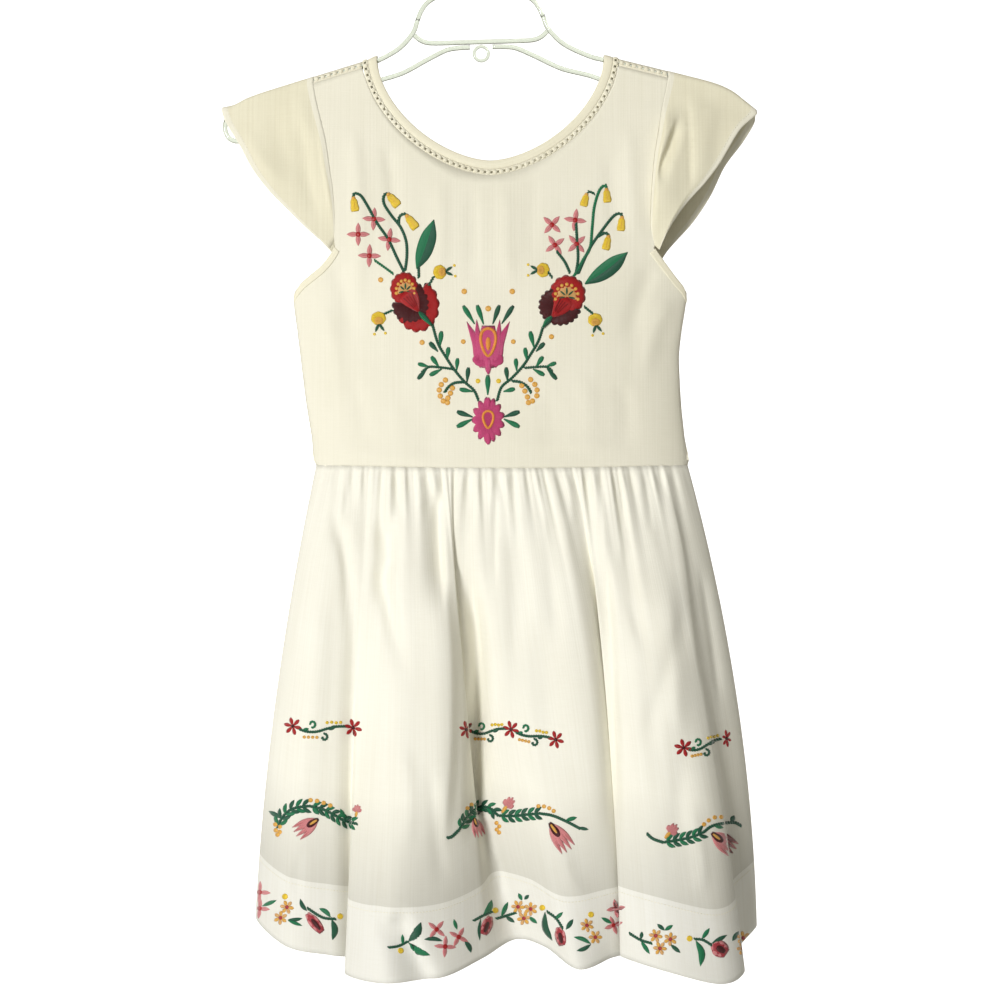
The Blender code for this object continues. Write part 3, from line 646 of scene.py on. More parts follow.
def body_place(facing):
    """Say where a point of the body's front (-1) or back (1) lies."""
    def place(across, down):
        flat = on_grid(BODY_LINES, across, down)
        x = flat[:, 0]
        z = np.minimum(flat[:, 1], top_line(x) - SHOULDER_TRIM_DROP - SEAM)
        points = np.column_stack((x, facing * body_depth(x, z), z))
        creases = BODY_CREASES if facing < 0 else BACK_CREASES
        edge = np.minimum(np.minimum(1.0 - down, down) / 0.06, 1.0)
        edge *= np.minimum(np.abs(points[:, 1]) / 8.0, 1.0)
        points[:, 1] += facing * crease_rise(points, deeper(creases, BODY_CREASE_DEPTH)) * edge
        points[:, 1] = facing * np.maximum(facing * points[:, 1], 0.5 * SEAM)
        return points
    return place


BODY_CUT = (0.324, 0.342)
for name, facing in (("bodice_front", -1), ("bodice_back", 1)):
    piece = cloth_piece("voile_" + name, (184, 48), body_place(facing), BODY_CUT, body_voile,
                        [name])
    map_from_front(piece)

# %% [markdown]
# ## Skirt
#
# The skirt is a rectangle of cloth gathered into the waist seam. The big folds come from a table with
# a row for each turn of the cloth. Between the waist and the hem the cloth follows a smooth curve
# through three places. Small gathers start at the seam and die out at uneven lengths.

# %% Folds of the skirt
# waist x, then x and depth halfway down, then x, depth and z at the hem
FRONT_FOLDS = np.array((
    (-135.0, -168.0, 0.0, -186.0, 0.0, -846.0),     # left seam
    (-119.0, -145.0, 34.0, -155.0, 48.0, -859.0),   # left fold
    (-105.0, -116.0, 37.0, -118.0, 50.0, -866.0),   # left fold's end
    (-95.0, -102.0, 31.0, -101.0, 38.0, -872.0),    # left tuck
    (-84.0, -95.0, 38.0, -105.0, 58.0, -879.0),     # edge of the plain fold
    (-65.0, -65.0, 60.0, -71.0, 88.0, -878.0),      # plain fold
    (-45.0, -33.0, 57.0, -28.0, 76.0, -877.0),      # its right side
    (-28.0, -8.5, 42.0, 5.0, 52.0, -868.0),         # its fall
    (-13.0, -11.0, 26.0, 32.0, 28.0, -859.0),       # hollow
    (3.0, 18.0, 38.0, 56.0, 40.0, -862.0),          # the hollow's rise
    (28.0, 48.0, 48.0, 82.0, 66.0, -873.0),         # middle fold
    (57.0, 94.0, 52.0, 110.0, 50.0, -868.0),        # its end
    (75.0, 114.0, 34.0, 124.0, 40.0, -868.0),       # right tuck
    (87.0, 107.0, 46.0, 117.0, 58.0, -865.0),       # edge of the right fold
    (108.0, 132.0, 56.0, 150.0, 78.0, -871.0),      # right fold
    (131.0, 168.0, 56.0, 195.0, 72.0, -883.0),      # its crown
    (147.0, 186.0, 46.0, 217.0, 52.0, -879.0),      # right corner
    (160.0, 194.0, 30.0, 215.0, 30.0, -867.0),      # side tuck
    (177.0, 218.0, 0.0, 235.0, 0.0, -854.0)))       # right seam
BACK_FOLDS = np.array((
    (-135.0, -168.0, 0.0, -186.0, 0.0, -846.0),     # left seam
    (-117.0, -150.0, 30.0, -160.0, 44.0, -856.0),   # crests and dips in turn
    (-92.0, -118.0, 24.0, -122.0, 26.0, -850.0),
    (-62.0, -80.0, 46.0, -78.0, 64.0, -862.0),
    (-36.0, -44.0, 34.0, -40.0, 36.0, -853.0),
    (-6.0, -4.0, 50.0, 4.0, 72.0, -864.0),
    (20.0, 30.0, 36.0, 42.0, 40.0, -855.0),
    (52.0, 70.0, 52.0, 86.0, 74.0, -865.0),
    (80.0, 104.0, 34.0, 122.0, 38.0, -855.0),
    (110.0, 140.0, 48.0, 160.0, 64.0, -863.0),
    (136.0, 172.0, 30.0, 192.0, 32.0, -853.0),
    (160.0, 200.0, 28.0, 222.0, 36.0, -858.0),
    (177.0, 218.0, 0.0, 235.0, 0.0, -854.0)))       # right seam

SKIRT_CREASES = (
    (((440, 556), (449, 640), (450, 720), (446, 800), (440, 860)), 7.0, 26, 7),
    (((468, 556), (477, 650), (477, 720), (474, 800), (468, 850)), -15.0, 8, 9),
    (((664, 560), (672, 680), (676, 800)), 6.0, 34, 14),
    (((690, 600), (664, 680), (640, 760)), -2.0, 9, 12),
    (((602, 540), (611, 640), (615, 760), (617, 880)), -8.0, 13, 5),
    (((392, 908), (412, 956), (436, 996)), -9.5, 20, 10),
    (((386, 508), (387, 558), (385, 593), (408, 690)), -11.0, 9, 8),
    (((330, 520), (344, 560), (348, 640)), -3.0, 5, 10),
    (((352, 500), (356, 580), (362, 660)), 2.2, 7, 9),
    (((512, 520), (516, 600), (514, 680)), -2.6, 9, 12),
    (((548, 500), (552, 580), (560, 660)), -2.4, 8, 10),
    (((622, 540), (630, 600), (650, 660)), -2.4, 7, 11),
    (((437, 486), (438, 540), (442, 620)), -6.5, 12, 5),
    (((400, 470), (399, 500), (402, 530)), -1.4, 3, 4),
    (((428, 470), (430, 490), (426, 520)), -1.5, 4, 3),
    (((441, 480), (440, 540), (444, 605)), -2.2, 10, 4),
    (((452, 560), (460, 600), (466, 650)), 2.4, 9, 3),
    (((472, 484), (474, 510), (471, 532)), -1.6, 4, 3),
    (((496, 492), (495, 540), (494, 600)), -1.8, 6, 3),
    (((511, 470), (519, 510), (522, 577)), 1.3, 4, 5),
    (((538, 480), (540, 505), (545, 530)), -1.3, 4, 4),
    (((566, 472), (571, 500), (570, 540)), 1.1, 5, 5),
    (((585, 470), (590, 520), (597, 600)), -1.8, 8, 5),
    (((604, 470), (605, 520), (607, 610)), 2.0, 4, 8),
    (((623, 472), (624, 500), (622, 540)), -1.2, 4, 4),
    (((644, 482), (649, 510), (652, 536)), -1.4, 5, 3),
    (((665, 480), (680, 540), (690, 610), (700, 700)), 2.5, 8, 3),
    (((700, 560), (712, 640), (722, 720)), -2.5, 4, 6),
    (((327, 505), (342, 540), (350, 600)), -1.6, 4, 8),
    (((346, 475), (346, 500), (344, 520)), -1.2, 3, 3),
    (((322, 600), (318, 680), (314, 760)), 1.4, 10, 10),
    (((300, 850), (296, 880), (300, 905)), -2.0, 5, 7),
    (((401, 740), (410, 800), (404, 860)), 1.5, 10, 8),
    (((372, 845), (376, 900), (390, 950)), -2.2, 6, 8),
    (((505, 640), (500, 720), (506, 800)), 1.6, 14, 12),
    (((540, 600), (548, 700), (556, 780)), -1.4, 12, 14),
    (((498, 850), (502, 880), (500, 900)), -2.0, 5, 5),
    (((560, 842), (572, 880), (590, 905)), 1.6, 8, 8),
    (((640, 620), (636, 720), (650, 800)), 1.5, 12, 12),
    (((672, 700), (680, 780), (676, 860)), -1.5, 10, 10),
    (((690, 800), (702, 860), (700, 900)), 1.6, 9, 7),
    (((430, 760), (436, 830), (446, 900)), -1.6, 8, 8),
)
SKIRT_BACK_CREASES = behind(SKIRT_CREASES, 985, 12)


def fold_keys(folds, across):
    """The fold table's row at a share of the way across, eased over the side seams."""
    flip = np.array((1.0, 1.0, -1.0, 1.0, -1.0, 1.0))
    keys = np.vstack((folds[1] * flip, folds, folds[-2] * flip))
    waist_x = folds[0, 0] + (folds[-1, 0] - folds[0, 0]) * across
    start = np.clip(np.searchsorted(folds[:, 0], waist_x, side="right") - 1, 0, len(folds) - 2)
    part = (waist_x - folds[start, 0]) / (folds[start + 1, 0] - folds[start, 0])
    weights = four_weights(part)
    return waist_x, sum(weights[step][:, None] * keys[start + step] for step in range(4))


def gathers(across, down, count):
    """Small waves below the waist seam, uneven in height and length, and finer ones between."""
    uneven = 0.72 + 0.28 * np.sin(19.0 * across + 1.0) * np.cos(43.0 * across)
    length = 0.085 + 0.05 * np.sin(31.0 * across + 2.0) + 0.03 * np.cos(71.0 * across)
    near_seam = np.minimum(1.0, 14.0 * np.minimum(across, 1.0 - across))
    rise = 0.15 + 0.85 * np.minimum(1.0, down / 0.025)
    wave = 2.7 * np.sin(2.0 * np.pi * count * across) * uneven * rise
    wave *= np.exp(-np.maximum(0.0, down - 0.03) / length)
    fine = 1.3 * np.sin(2.0 * np.pi * (2.35 * count * across + 0.6 * np.sin(9.0 * across)))
    fine *= (0.6 + 0.4 * np.sin(57.0 * across)) * rise * np.exp(-down / (0.5 * length))
    return (wave + fine) * near_seam


HEM_TOP = 0.856                                     # the hem's upper edge, as a share of the way down
HEM_LEDGE = 0.6
WAIST_LEVEL = -467.9


def skirt_place(folds, facing, count, creases):
    """Say where a point of the skirt lies."""
    def place(across, down):
        waist_x, key = fold_keys(folds, across)
        down = 1.0 - down
        top = waist_height(across) - 0.5 * SEAM
        weights = ((1.0 - down) * (1.0 - 2.0 * down), 4.0 * down * (1.0 - down),
                   down * (2.0 * down - 1.0))
        x = weights[0] * waist_x + weights[1] * key[:, 1] + weights[2] * key[:, 3]
        top_depth = body_depth(waist_x, np.full_like(waist_x, WAIST_LEVEL))
        depth = weights[0] * top_depth + weights[1] * key[:, 2] + weights[2] * key[:, 4]
        z = top + (key[:, 5] - top) * down
        depth = np.maximum(depth, 0.0) + gathers(across, down, count)
        near_seam = np.minimum(1.0, 14.0 * np.minimum(across, 1.0 - across))
        depth += HEM_LEDGE * near_seam * np.clip((down - HEM_TOP) / 0.008, 0.0, 1.0)
        points = np.column_stack((x, facing * depth, z))
        edge = np.minimum(np.minimum(across, 1.0 - across) / 0.04, 1.0)
        points[:, 1] += facing * crease_rise(points, creases) * edge
        points[:, 1] = facing * np.maximum(facing * points[:, 1], 0.5 * SEAM)
        return points
    return place


SKIRT_CUT = (0.600, 0.402)
FRONT_SKIRT = skirt_place(FRONT_FOLDS, -1, 26, SKIRT_CREASES)
BACK_SKIRT = skirt_place(BACK_FOLDS, 1, 18, SKIRT_BACK_CREASES)
skirt_front = cloth_piece("voile_skirt_front", (380, 84), FRONT_SKIRT, SKIRT_CUT, skirt_voile_painted_light_and_shade,
                          ["skirt_front"])
skirt_back = cloth_piece("voile_skirt_back", (300, 72), BACK_SKIRT, SKIRT_CUT, skirt_voile_painted_light_and_shade,
                         ["skirt_back"])
for skirt in (skirt_front, skirt_back):
    hem_band(skirt, hem_voile, (0.0, (1.0 - HEM_TOP) * SKIRT_CUT[1]))

# %% [markdown]
# ## Cap sleeves
#
# A cap sleeve is one leaf-shaped piece, folded over the rail. It is sewn into the armhole along its
# inner edge and has a narrow hem outside. The same lines as in the solid are read more finely.

# %% Sleeves
SLEEVE_CREASES = (
    (((666, 100), (660, 170), (656, 240)), 4.6, 8, 26),
    (((694, 84), (693, 140), (692, 200)), 1.3, 6, 15),
    (((316, 92), (324, 160), (335, 240)), 0.8, 3, 5),
    (((300, 112), (306, 170), (322, 236)), -1.1, 9, 7),
    (((681, 112), (668, 150), (661, 168), (662, 188)), -3.2, 3, 7),
    (((688, 100), (690, 150), (690, 196)), -1.2, 3, 3),
    (((712, 100), (706, 140), (700, 186)), 1.0, 9, 9),
    (((322, 104), (334, 150), (338, 190)), -1.6, 6, 3),
    (((300, 90), (304, 120), (310, 150)), 0.9, 9, 8),
    (((272, 104), (280, 140), (300, 185)), -0.8, 10, 10),
    (((246, 128), (262, 160), (286, 190)), 0.8, 7, 9),
)


SLEEVE_CREASE_DEPTH = 1.8


def sleeve_lines(side):
    """The sleeve's grid from the front hem's end over the fold to the back hem's end."""
    shoulder = SHOULDER[side]
    out = np.linspace(0.0, 1.0, 9)
    seam = armhole_line(side, ARMHOLE_STEPS)
    halves = []
    for facing in (-1, 1):
        lines = []
        for drop in FOLD_DROPS + (FOLD_RADIUS,):
            x = shoulder + side * 0.5 * SEAM + (SLEEVE_TIP[side][0] - shoulder) * out
            depth = math.sqrt(FOLD_RADIUS ** 2 - (FOLD_RADIUS - drop) ** 2)
            lines.append(np.column_stack((x, np.full_like(x, facing * depth), top_line(x) - drop)))
        hem = along(SLEEVE_EDGE[side, facing], 0.03 + 0.97 * np.linspace(0.0, 1.0, len(seam)))
        for (seam_x, seam_z), (hem_x, hem_z, hem_depth) in zip(seam, hem):
            seam_depth = float(body_depth(np.array(seam_x), np.array(seam_z)))
            lines.append(np.column_stack((
                seam_x + side * 0.5 * SEAM + (hem_x - seam_x) * out,
                facing * (seam_depth + (hem_depth - seam_depth) * out),
                seam_z + (hem_z - seam_z) * out)))
        halves.append(lines)
    return np.array(halves[0][::-1] + halves[1][1:])


def sleeve_place(side):
    """Say where a point of a sleeve lies."""
    lines = sleeve_lines(side)

    def place(across, down):
        points = on_grid(lines, across, down)
        lift = crease_rise(points, deeper(SLEEVE_CREASES, SLEEVE_CREASE_DEPTH))
        lift *= np.minimum(np.minimum(down, 1.0 - down) / 0.1, 1.0)
        lift *= np.clip((np.abs(points[:, 1]) - 4.0) / 4.0, 0.0, 1.0)
        points[:, 1] += np.sign(points[:, 1]) * lift
        return points
    return place


SLEEVE_CUT = (0.290, 0.100)
for name, side in (("sleeve_left", -1), ("sleeve_right", 1)):
    piece = cloth_piece("voile_" + name, (96, 44), sleeve_place(side), SLEEVE_CUT,
                        sleeve_voile_painted_shade, [name])
    hem_band(piece, body_voile, (0.0, 0.007), (0.094, SLEEVE_CUT[1]))
    map_from_front(piece)

# %% [markdown]
# ## Neck binding
#
# The neck edge is bound with a bias strip, folded over so that it is a little puffed. Its lines run
# all round the opening, over both shoulders. Between the points of each line a smooth curve is read.

# %% Neck binding


def neck_half(outward):
    """Points of one half of a loop round the neck, from the left fold to the right: x, depth, z."""
    nearness = np.linspace(0.0, 1.0, 19)[1:]
    angle = 0.5 * np.pi * nearness ** 1.35
    angle = np.concatenate((angle, np.pi - angle[-2::-1]))
    x, z = neck_point(angle, outward)
    z = np.minimum(z, top_line(x) - 3.4)
    drops = np.array(FOLD_DROPS)
    ends = []
    for side in (-1, 1):
        end_x = np.full(3, NECK_MIDDLE + side * (NECK_HALF_WIDTH + outward))
        ends.append(np.column_stack((end_x, top_line(end_x) - drops)))
    flat = np.vstack((ends[0], np.column_stack((x, z)), ends[1][::-1]))
    return np.column_stack((flat[:, 0], body_depth(flat[:, 0], flat[:, 1]), flat[:, 1]))


def neck_loop(outward):
    """A closed loop round the neck at a distance from its edge, front first."""
    half = neck_half(outward)
    return np.vstack((half * (1.0, -1.0, 1.0), half[-2:0:-1]))


def body_normal(points):
    """Outward directions of the body's surface at points of it."""
    reach = 0.4
    x, y, z = points.T
    slope_x = (body_depth(x + reach, z) - body_depth(x - reach, z)) / (2.0 * reach)
    slope_z = (body_depth(x, z + reach) - body_depth(x, z - reach)) / (2.0 * reach)
    normal = np.column_stack((-slope_x, np.where(y > 0.0, 1.0, -1.0), -slope_z))
    at_top = top_line(x) - z < 0.15
    normal[at_top] = (0.0, 0.0, 1.0)
    return normal / np.linalg.norm(normal, axis=1, keepdims=True)


def neck_strip(start, width, puff):
    """Say where a strip round the neck lies, puffed up in its middle."""
    lines = np.stack([neck_loop(start + width * share) for share in np.linspace(0, 1, 5)], axis=1)

    def place(across, down):
        points = on_grid(lines, down, across, ring=True)
        return points + body_normal(points) * (puff * np.sin(np.pi * across))[:, None]
    return place


NECK_BINDING_CUT = (0.015, 0.585)
NECK_PUFF = 0.45
cloth_piece("bias_neck_binding", (8, 240), neck_strip(0.0, BINDING_WIDTH, NECK_PUFF),
            NECK_BINDING_CUT, binding_cotton, ["neck_binding"], around=True,
            thick=BINDING_THICKNESS, folded=2.0)

# %% [markdown]
# ## Openwork trim
#
# Beside the binding a narrow openwork trim is let in: two fine edges with knots between them and
# small holes between the knots. The same trim lies along the shoulder seams. Every knot is one small
# ball, flattened and turned by a matrix, and all knots of a strip are one joined mesh.

# %% Openwork trim
KNOT_PITCH = 5.4


def line_length(points):
    """How far along a line each of its points lies."""
    return np.concatenate(([0.0], np.cumsum(np.linalg.norm(np.diff(points, axis=0), axis=1))))


def at_length(points, run, spots):
    """Points of a line at distances along it."""
    return np.stack([np.interp(spots, run, column) for column in np.transpose(points)], axis=-1)


def spaced(line, pitch, closed=False):
    """Places at even distances along a line of points, with the directions there."""
    points = np.vstack((line, line[:1])) if closed else line
    run = line_length(points)
    count = max(int(round(run[-1] / pitch)), 1)
    spots = (np.arange(count) + 0.5) * run[-1] / count
    where = at_length(points, run, spots)
    way = at_length(points, run, spots + 0.5) - where
    return where, way / np.linalg.norm(way, axis=1, keepdims=True)


def add_knots(bm, where, way, normal, size, detail=2):
    """Add small balls of a size (along, across, high), turned to the line that they lie on."""
    for spot, forward, up in zip(where, way, normal):
        forward = Vector(forward)
        up = Vector(up)
        across = up.cross(forward).normalized()
        up = forward.cross(across)
        turn = Matrix((forward * size[0], across * size[1], up * size[2])).transposed()
        matrix = Matrix.Translation(Vector(spot) * MM) @ (turn * MM).to_4x4()
        bmesh.ops.create_icosphere(bm, subdivisions=detail, radius=0.5, matrix=matrix)


def add_tape(bm, lines, closed):
    """Add a flat tape between two lines of points, one segment after the other."""
    rings = [[bm.verts.new(point * MM) for point in line] for line in lines]
    edges = []
    for ring in rings:
        pairs = zip(ring, ring[1:] + ring[:1]) if closed else zip(ring[:-1], ring[1:])
        edges.append([bm.edges.new(pair) for pair in pairs])
    bmesh.ops.bridge_loops(bm, edges=edges[0] + edges[1])


def trim_piece(name, tapes, knots, node, closed):
    """An openwork strip: tapes (pairs of lines) and rows of knots (line, size, lift)."""
    bm = bmesh.new()
    for lines in tapes:
        add_tape(bm, lines, closed)
    bmesh.ops.recalc_face_normals(bm, faces=bm.faces)
    outward = sum(face.normal.dot(Vector(body_normal(np.array(
        [face.calc_center_median() / MM]))[0])) for face in bm.faces)
    if outward < 0.0:
        bmesh.ops.reverse_faces(bm, faces=bm.faces)
    bmesh.ops.solidify(bm, geom=bm.faces[:], thickness=0.5 * MM)
    bmesh.ops.recalc_face_normals(bm, faces=bm.faces)
    for line, size, lift in knots:
        where, way = spaced(line, KNOT_PITCH, closed)
        normal = body_normal(where)
        add_knots(bm, where + normal * lift, way, normal, size)
    thing = new_piece(name, bm, [trim_thread])
    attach(thing, "root")
    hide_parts(node)
    print(name, "has", len(thing.data.polygons), "faces")


def fine_loop(outward, count=260):
    """A loop round the neck with many points."""
    loop = neck_loop(outward)[:, None]
    loop = np.concatenate((loop, loop), axis=1)
    share = np.arange(count) / count
    return on_grid(loop, share, np.zeros(count), ring=True)


def shoulder_line(x_from, x_to, drop, facing):
    """A line along the shoulder at a distance below its top fold."""
    x = np.linspace(x_from, x_to, 24)
    z = top_line(x) - drop
    return np.column_stack((x, facing * body_depth(x, z), z))


# Distances in millimetres from the binding or below the shoulder's fold, and sizes of knots
NECK_TRIM = BINDING_WIDTH + SEAM
NECK_TAPES = ((0.0, 1.7), (3.4, 5.0))
NECK_KNOTS = (2.6, (4.1, 4.0, 1.9), 0.1)
SHOULDER_TAPES = ((SHOULDER_TRIM_DROP, 4.8), (3.0, 0.9))
SHOULDER_KNOTS = (3.8, (4.1, 3.8, 1.8), 0.0)
TRIM_REACH = NECK_HALF_WIDTH + BINDING_WIDTH + INSERTION_WIDTH + 2.0 * SEAM

trim_piece("openwork_neck_trim",
           [[fine_loop(NECK_TRIM + outward) for outward in tape] for tape in NECK_TAPES],
           [(fine_loop(NECK_TRIM + NECK_KNOTS[0], 300), *NECK_KNOTS[1:])], "neck_insertion", True)
for name, side in (("left", -1), ("right", 1)):
    ends = (NECK_MIDDLE + side * TRIM_REACH, SHOULDER[side] - side * 0.15)
    tapes = []
    knots = []
    for facing in (-1, 1):
        tapes += [[shoulder_line(*ends, drop, facing) for drop in tape] for tape in SHOULDER_TAPES]
        knots.append((shoulder_line(*ends, SHOULDER_KNOTS[0], facing), *SHOULDER_KNOTS[1:]))
    tapes.append([shoulder_line(*ends, SHOULDER_TAPES[1][1], facing) for facing in (-1, 1)])
    trim_piece("openwork_shoulder_trim_" + name, tapes, knots, "shoulder_trim_" + name, False)

# %% [markdown]
# ## Lower armholes
#
# Where the armhole is open below the sleeve, a bias strip binds its edge, from the front round the
# underarm to the back.

# %% Armhole bindings
ARM_BINDING_CUT = (0.012, 0.11)
BINDING_PROUD = 0.4


def arm_strip(side):
    """Say where a lower armhole's binding lies, a little puffed."""
    lines = []
    for inward in np.linspace(0.0, ARM_BINDING_WIDTH, 5):
        flat = underarm_line(side, 8, inward)
        depth = body_depth(flat[:, 0], flat[:, 1])
        depth[-1] = 0.0
        front = np.column_stack((flat[:, 0], -depth, flat[:, 1]))
        lines.append(np.vstack((front, front[-2::-1] * (1.0, -1.0, 1.0))))
    lines = np.stack(lines, axis=1)

    def place(across, down):
        points = on_grid(lines, down, across)
        points[:, 0] += side * 0.3 * np.sin(np.pi * across)
        points[:, 1] += BINDING_PROUD * np.clip(points[:, 1], -1.0, 1.0)
        return points
    return place


for name, side in (("left", -1), ("right", 1)):
    cloth_piece("bias_armhole_binding_" + name, (6, 60), arm_strip(side), ARM_BINDING_CUT,
                binding_cotton, ["armhole_binding_" + name], thick=BINDING_THICKNESS,
                folded=2.0)

# %% [markdown]
# ## The hanger
#
# The hanger is injection-moulded clear polystyrene: round rods of 4 mm that meet in soft joints. Its
# index of refraction is near 1.59, so its edges look grey and its middle shows what is behind it. A
# rod is a circle that is swept along a smooth line, and every rod stands for its solid.

# %% Hanger
clear_plastic, plastic_shader = new_finish(
    "clear polystyrene, injection moulded", Base_Color=colour("#D2D8CA"), Roughness=0.06, IOR=1.59,
    Transmission_Weight=0.92)
ripple = add_node(clear_plastic, "ShaderNodeTexNoise", {"Scale": 60.0, "Detail": 2.0},
                  Vector=add_node(clear_plastic, "ShaderNodeTexCoord").outputs["Object"])
emboss(clear_plastic, plastic_shader, ripple.outputs["Fac"], 0.12, 0.0008)
ROD_SIDES = 14
EYE_RADIUS = 6.0
EYE_LEVEL = -122.5
EYE_ROD_RADIUS = 1.4
HOOK_START = -48.0                                  # degrees, and the arc that the hook turns through
HOOK_TURN = 256.0
HOOK_STEM = ((0.0, -64.7), (0.0, -58.0), (3.5, -51.0), (11.0, -45.5))


def rod(name, line, radius, node, closed=False):
    """A round rod along a line of x and z values: rings of points, bridged and capped."""
    line = tilt(line)
    way = np.gradient(line, axis=0)
    if closed:
        way = np.roll(line, -1, axis=0) - np.roll(line, 1, axis=0)
    way /= np.linalg.norm(way, axis=1, keepdims=True)
    bm = bmesh.new()
    rings = []
    for (x, z), (way_x, way_z) in zip(line, way):
        turn = Matrix(((-way_z, 0.0, way_x), (0.0, 1.0, 0.0), (way_x, 0.0, way_z))).to_4x4()
        place = Matrix.Translation(Vector((x, 0.0, z)) * MM) @ turn
        made = bmesh.ops.create_circle(bm, segments=ROD_SIDES, radius=radius * MM, matrix=place)
        rings.append(made["verts"])
    pairs = list(zip(rings, rings[1:] + rings[:1])) if closed else list(zip(rings, rings[1:]))
    for first, second in pairs:
        edges = [edge for ring in (first, second) for edge in
                 {edge for vertex in ring for edge in vertex.link_edges
                  if edge.other_vert(vertex) in ring}]
        bmesh.ops.bridge_loops(bm, edges=edges)
    if not closed:
        for ring in (rings[0], rings[-1]):
            bmesh.ops.contextual_create(bm, geom=ring)
    bmesh.ops.recalc_face_normals(bm, faces=bm.faces)
    thing = new_piece(name, bm, [clear_plastic])
    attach(thing, "root")
    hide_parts(node)


def across_middle(table):
    """A hanger table that ends in the middle, with its other half."""
    half = np.array(table)
    return np.vstack((half, (half * (-1.0, 1.0))[-2::-1]))


def on_circle(radius, degrees):
    """Points on a circle round the origin."""
    turn = np.radians(degrees)
    return radius * np.column_stack((np.cos(turn), np.sin(turn)))


for name, side in (("left", -1), ("right", 1)):
    route = mirrored_table(UPPER_RAIL + RAIL_END + LOWER_RAIL, side)
    rod("polystyrene_arm_" + name, along(route, np.linspace(0, 1, 110)), ROD_RADIUS,
        "hanger_arm_" + name)
rod("polystyrene_dome", along(across_middle(DOME), np.linspace(0, 1, 60)), ROD_RADIUS,
    "hanger_dome")
rod("polystyrene_crossbar", along(across_middle(CROSSBAR), np.linspace(0, 1, 50)), ROD_RADIUS,
    "hanger_crossbar")
eye_line = on_circle(EYE_RADIUS, 90.0 + 360.0 * np.arange(36) / 36) + (0.0, EYE_LEVEL)
rod("polystyrene_eye", eye_line, EYE_ROD_RADIUS, "hanger_eye", closed=True)
hook_arc = on_circle(HOOK_INSIDE + HOOK_RADIUS, HOOK_START + HOOK_TURN * np.arange(49) / 48)
hook_arc[:, 1] -= HOOK_INSIDE
hook_stem = along(HOOK_STEM + (tuple(hook_arc[0]),), np.linspace(0.0, 1.0, 16))
rod("polystyrene_hook", np.vstack((hook_stem[:-1], hook_arc)), HOOK_RADIUS, "hanger_hook")

# %% [markdown]
# ## Lines of stitches
#
# A machine stitch is about 2.6 mm long, a thread that dips into the cloth at both ends. A line of
# them holds the hem of the skirt, and another the hem of each sleeve. Each stitch is one small pill,
# and a whole line is one joined mesh.

# %% Stitches of the seams
STITCH = (2.1, 0.55, 0.5)                           # along, across and high, in millimetres
STITCH_STEP = 2.7
STITCH_LIFT = 0.12


def seam_stitches(name, lines):
    """Rows of stitches along lines of points on the cloth, given with their outward direction."""
    bm = bmesh.new()
    for line, outward in lines:
        where, way = spaced(line, STITCH_STEP)
        normal = np.tile(np.asarray(outward, dtype=float), (len(where), 1))
        add_knots(bm, where + normal * STITCH_LIFT, way, normal, STITCH, 1)
    thing = new_piece(name, bm, [trim_thread])
    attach(thing, "root")
    print(name, "has", len(thing.data.polygons), "faces")


def cloth_line(place, level, count=240, ends=(0.004, 0.996)):
    """Points across a cloth at one share of its height."""
    across = np.linspace(ends[0], ends[1], count)
    return place(across, np.full(count, level))


HEM_STITCHES = 1.0 - HEM_TOP - 0.012
seam_stitches("stitches_of_the_skirt_hem",
              [(cloth_line(FRONT_SKIRT, HEM_STITCHES), (0.0, -1.0, 0.0)),
               (cloth_line(BACK_SKIRT, HEM_STITCHES), (0.0, 1.0, 0.0))])
for name, side in (("left", -1), ("right", 1)):
    sleeve = sleeve_place(side)
    seam_stitches("stitches_of_sleeve_" + name,
                  [(cloth_line(sleeve, 0.94, 90, (0.03, 0.44)), (0.0, -1.0, 0.0)),
                   (cloth_line(sleeve, 0.94, 90, (0.56, 0.97)), (0.0, 1.0, 0.0))])

# %% [markdown]
# ## Embroidery thread
#
# The flowers are machine-embroidered with lustrous rayon thread. Satin stitches lie side by side
# across a petal, 0.4 mm apart, and catch the light in bands. They are drawn 0.7 mm apart so that they
# show, as a bump and as bands of painted highlight in the thread's colour, both read from each
# shape's own UV map, which is in millimetres along and across.

# %% Threads
THREAD_COLOURS = {
    "leaf green": "#1C7A50", "dark green": "#1F5A42", "red": "#B01C1E", "maroon": "#4B1216",
    "pink": "#CF4A7E", "salmon": "#E08C8E", "rose red": "#B03A44", "yellow": "#F3CE3A",
    "gold": "#EDB353", "orange": "#F09A43", "peach": "#E7B271"}
THREAD_NAMES = list(THREAD_COLOURS)
STITCH_PITCH = 0.7                                  # millimetres between the ridges
SUNK = 0.12                                         # how deep a shape's rim lies in the cloth
KNOT_LIFT = 0.15
STEM_SLANT = math.radians(36.0)
STEM_HEIGHT = 0.8


def embroidery_thread(name, code):
    """Satin-stitched rayon, glossy along the stitch: a fine ridge and a painted highlight per thread.
    """
    material, shader = new_finish("rayon thread, " + name, Roughness=0.42, Sheen_Weight=0.3,
                                  Sheen_Roughness=0.3, Specular_IOR_Level=0.4)
    place = add_node(material, "ShaderNodeUVMap").outputs["UV"]
    ridges = add_node(material, "ShaderNodeTexWave", {"Scale": 0.314 / STITCH_PITCH,
                                                      "Distortion": 0.6, "Detail": 1.0},
                      Vector=place)
    uneven = add_node(material, "ShaderNodeTexNoise", {"Scale": 0.9, "Detail": 2.0}, Vector=place)
    both = weighted_sum(material, ridges.outputs["Fac"], 0.6, uneven.outputs["Fac"])
    # Painted highlight: the ridges make the colour lighter along every thread; the noise is the
    # thread's own uneven tone.
    low, high = (tuple(min(1.0, times * part) for part in colour(code)[:3]) + (1.0,)
                 for times in (0.66, 1.12))
    blend_colours(material, shader, both, (0.3, 1.2), low, high)
    emboss(material, shader, ridges.outputs["Fac"], 0.6, 0.0003)
    return material


THREADS = [embroidery_thread(name, code) for name, code in THREAD_COLOURS.items()]

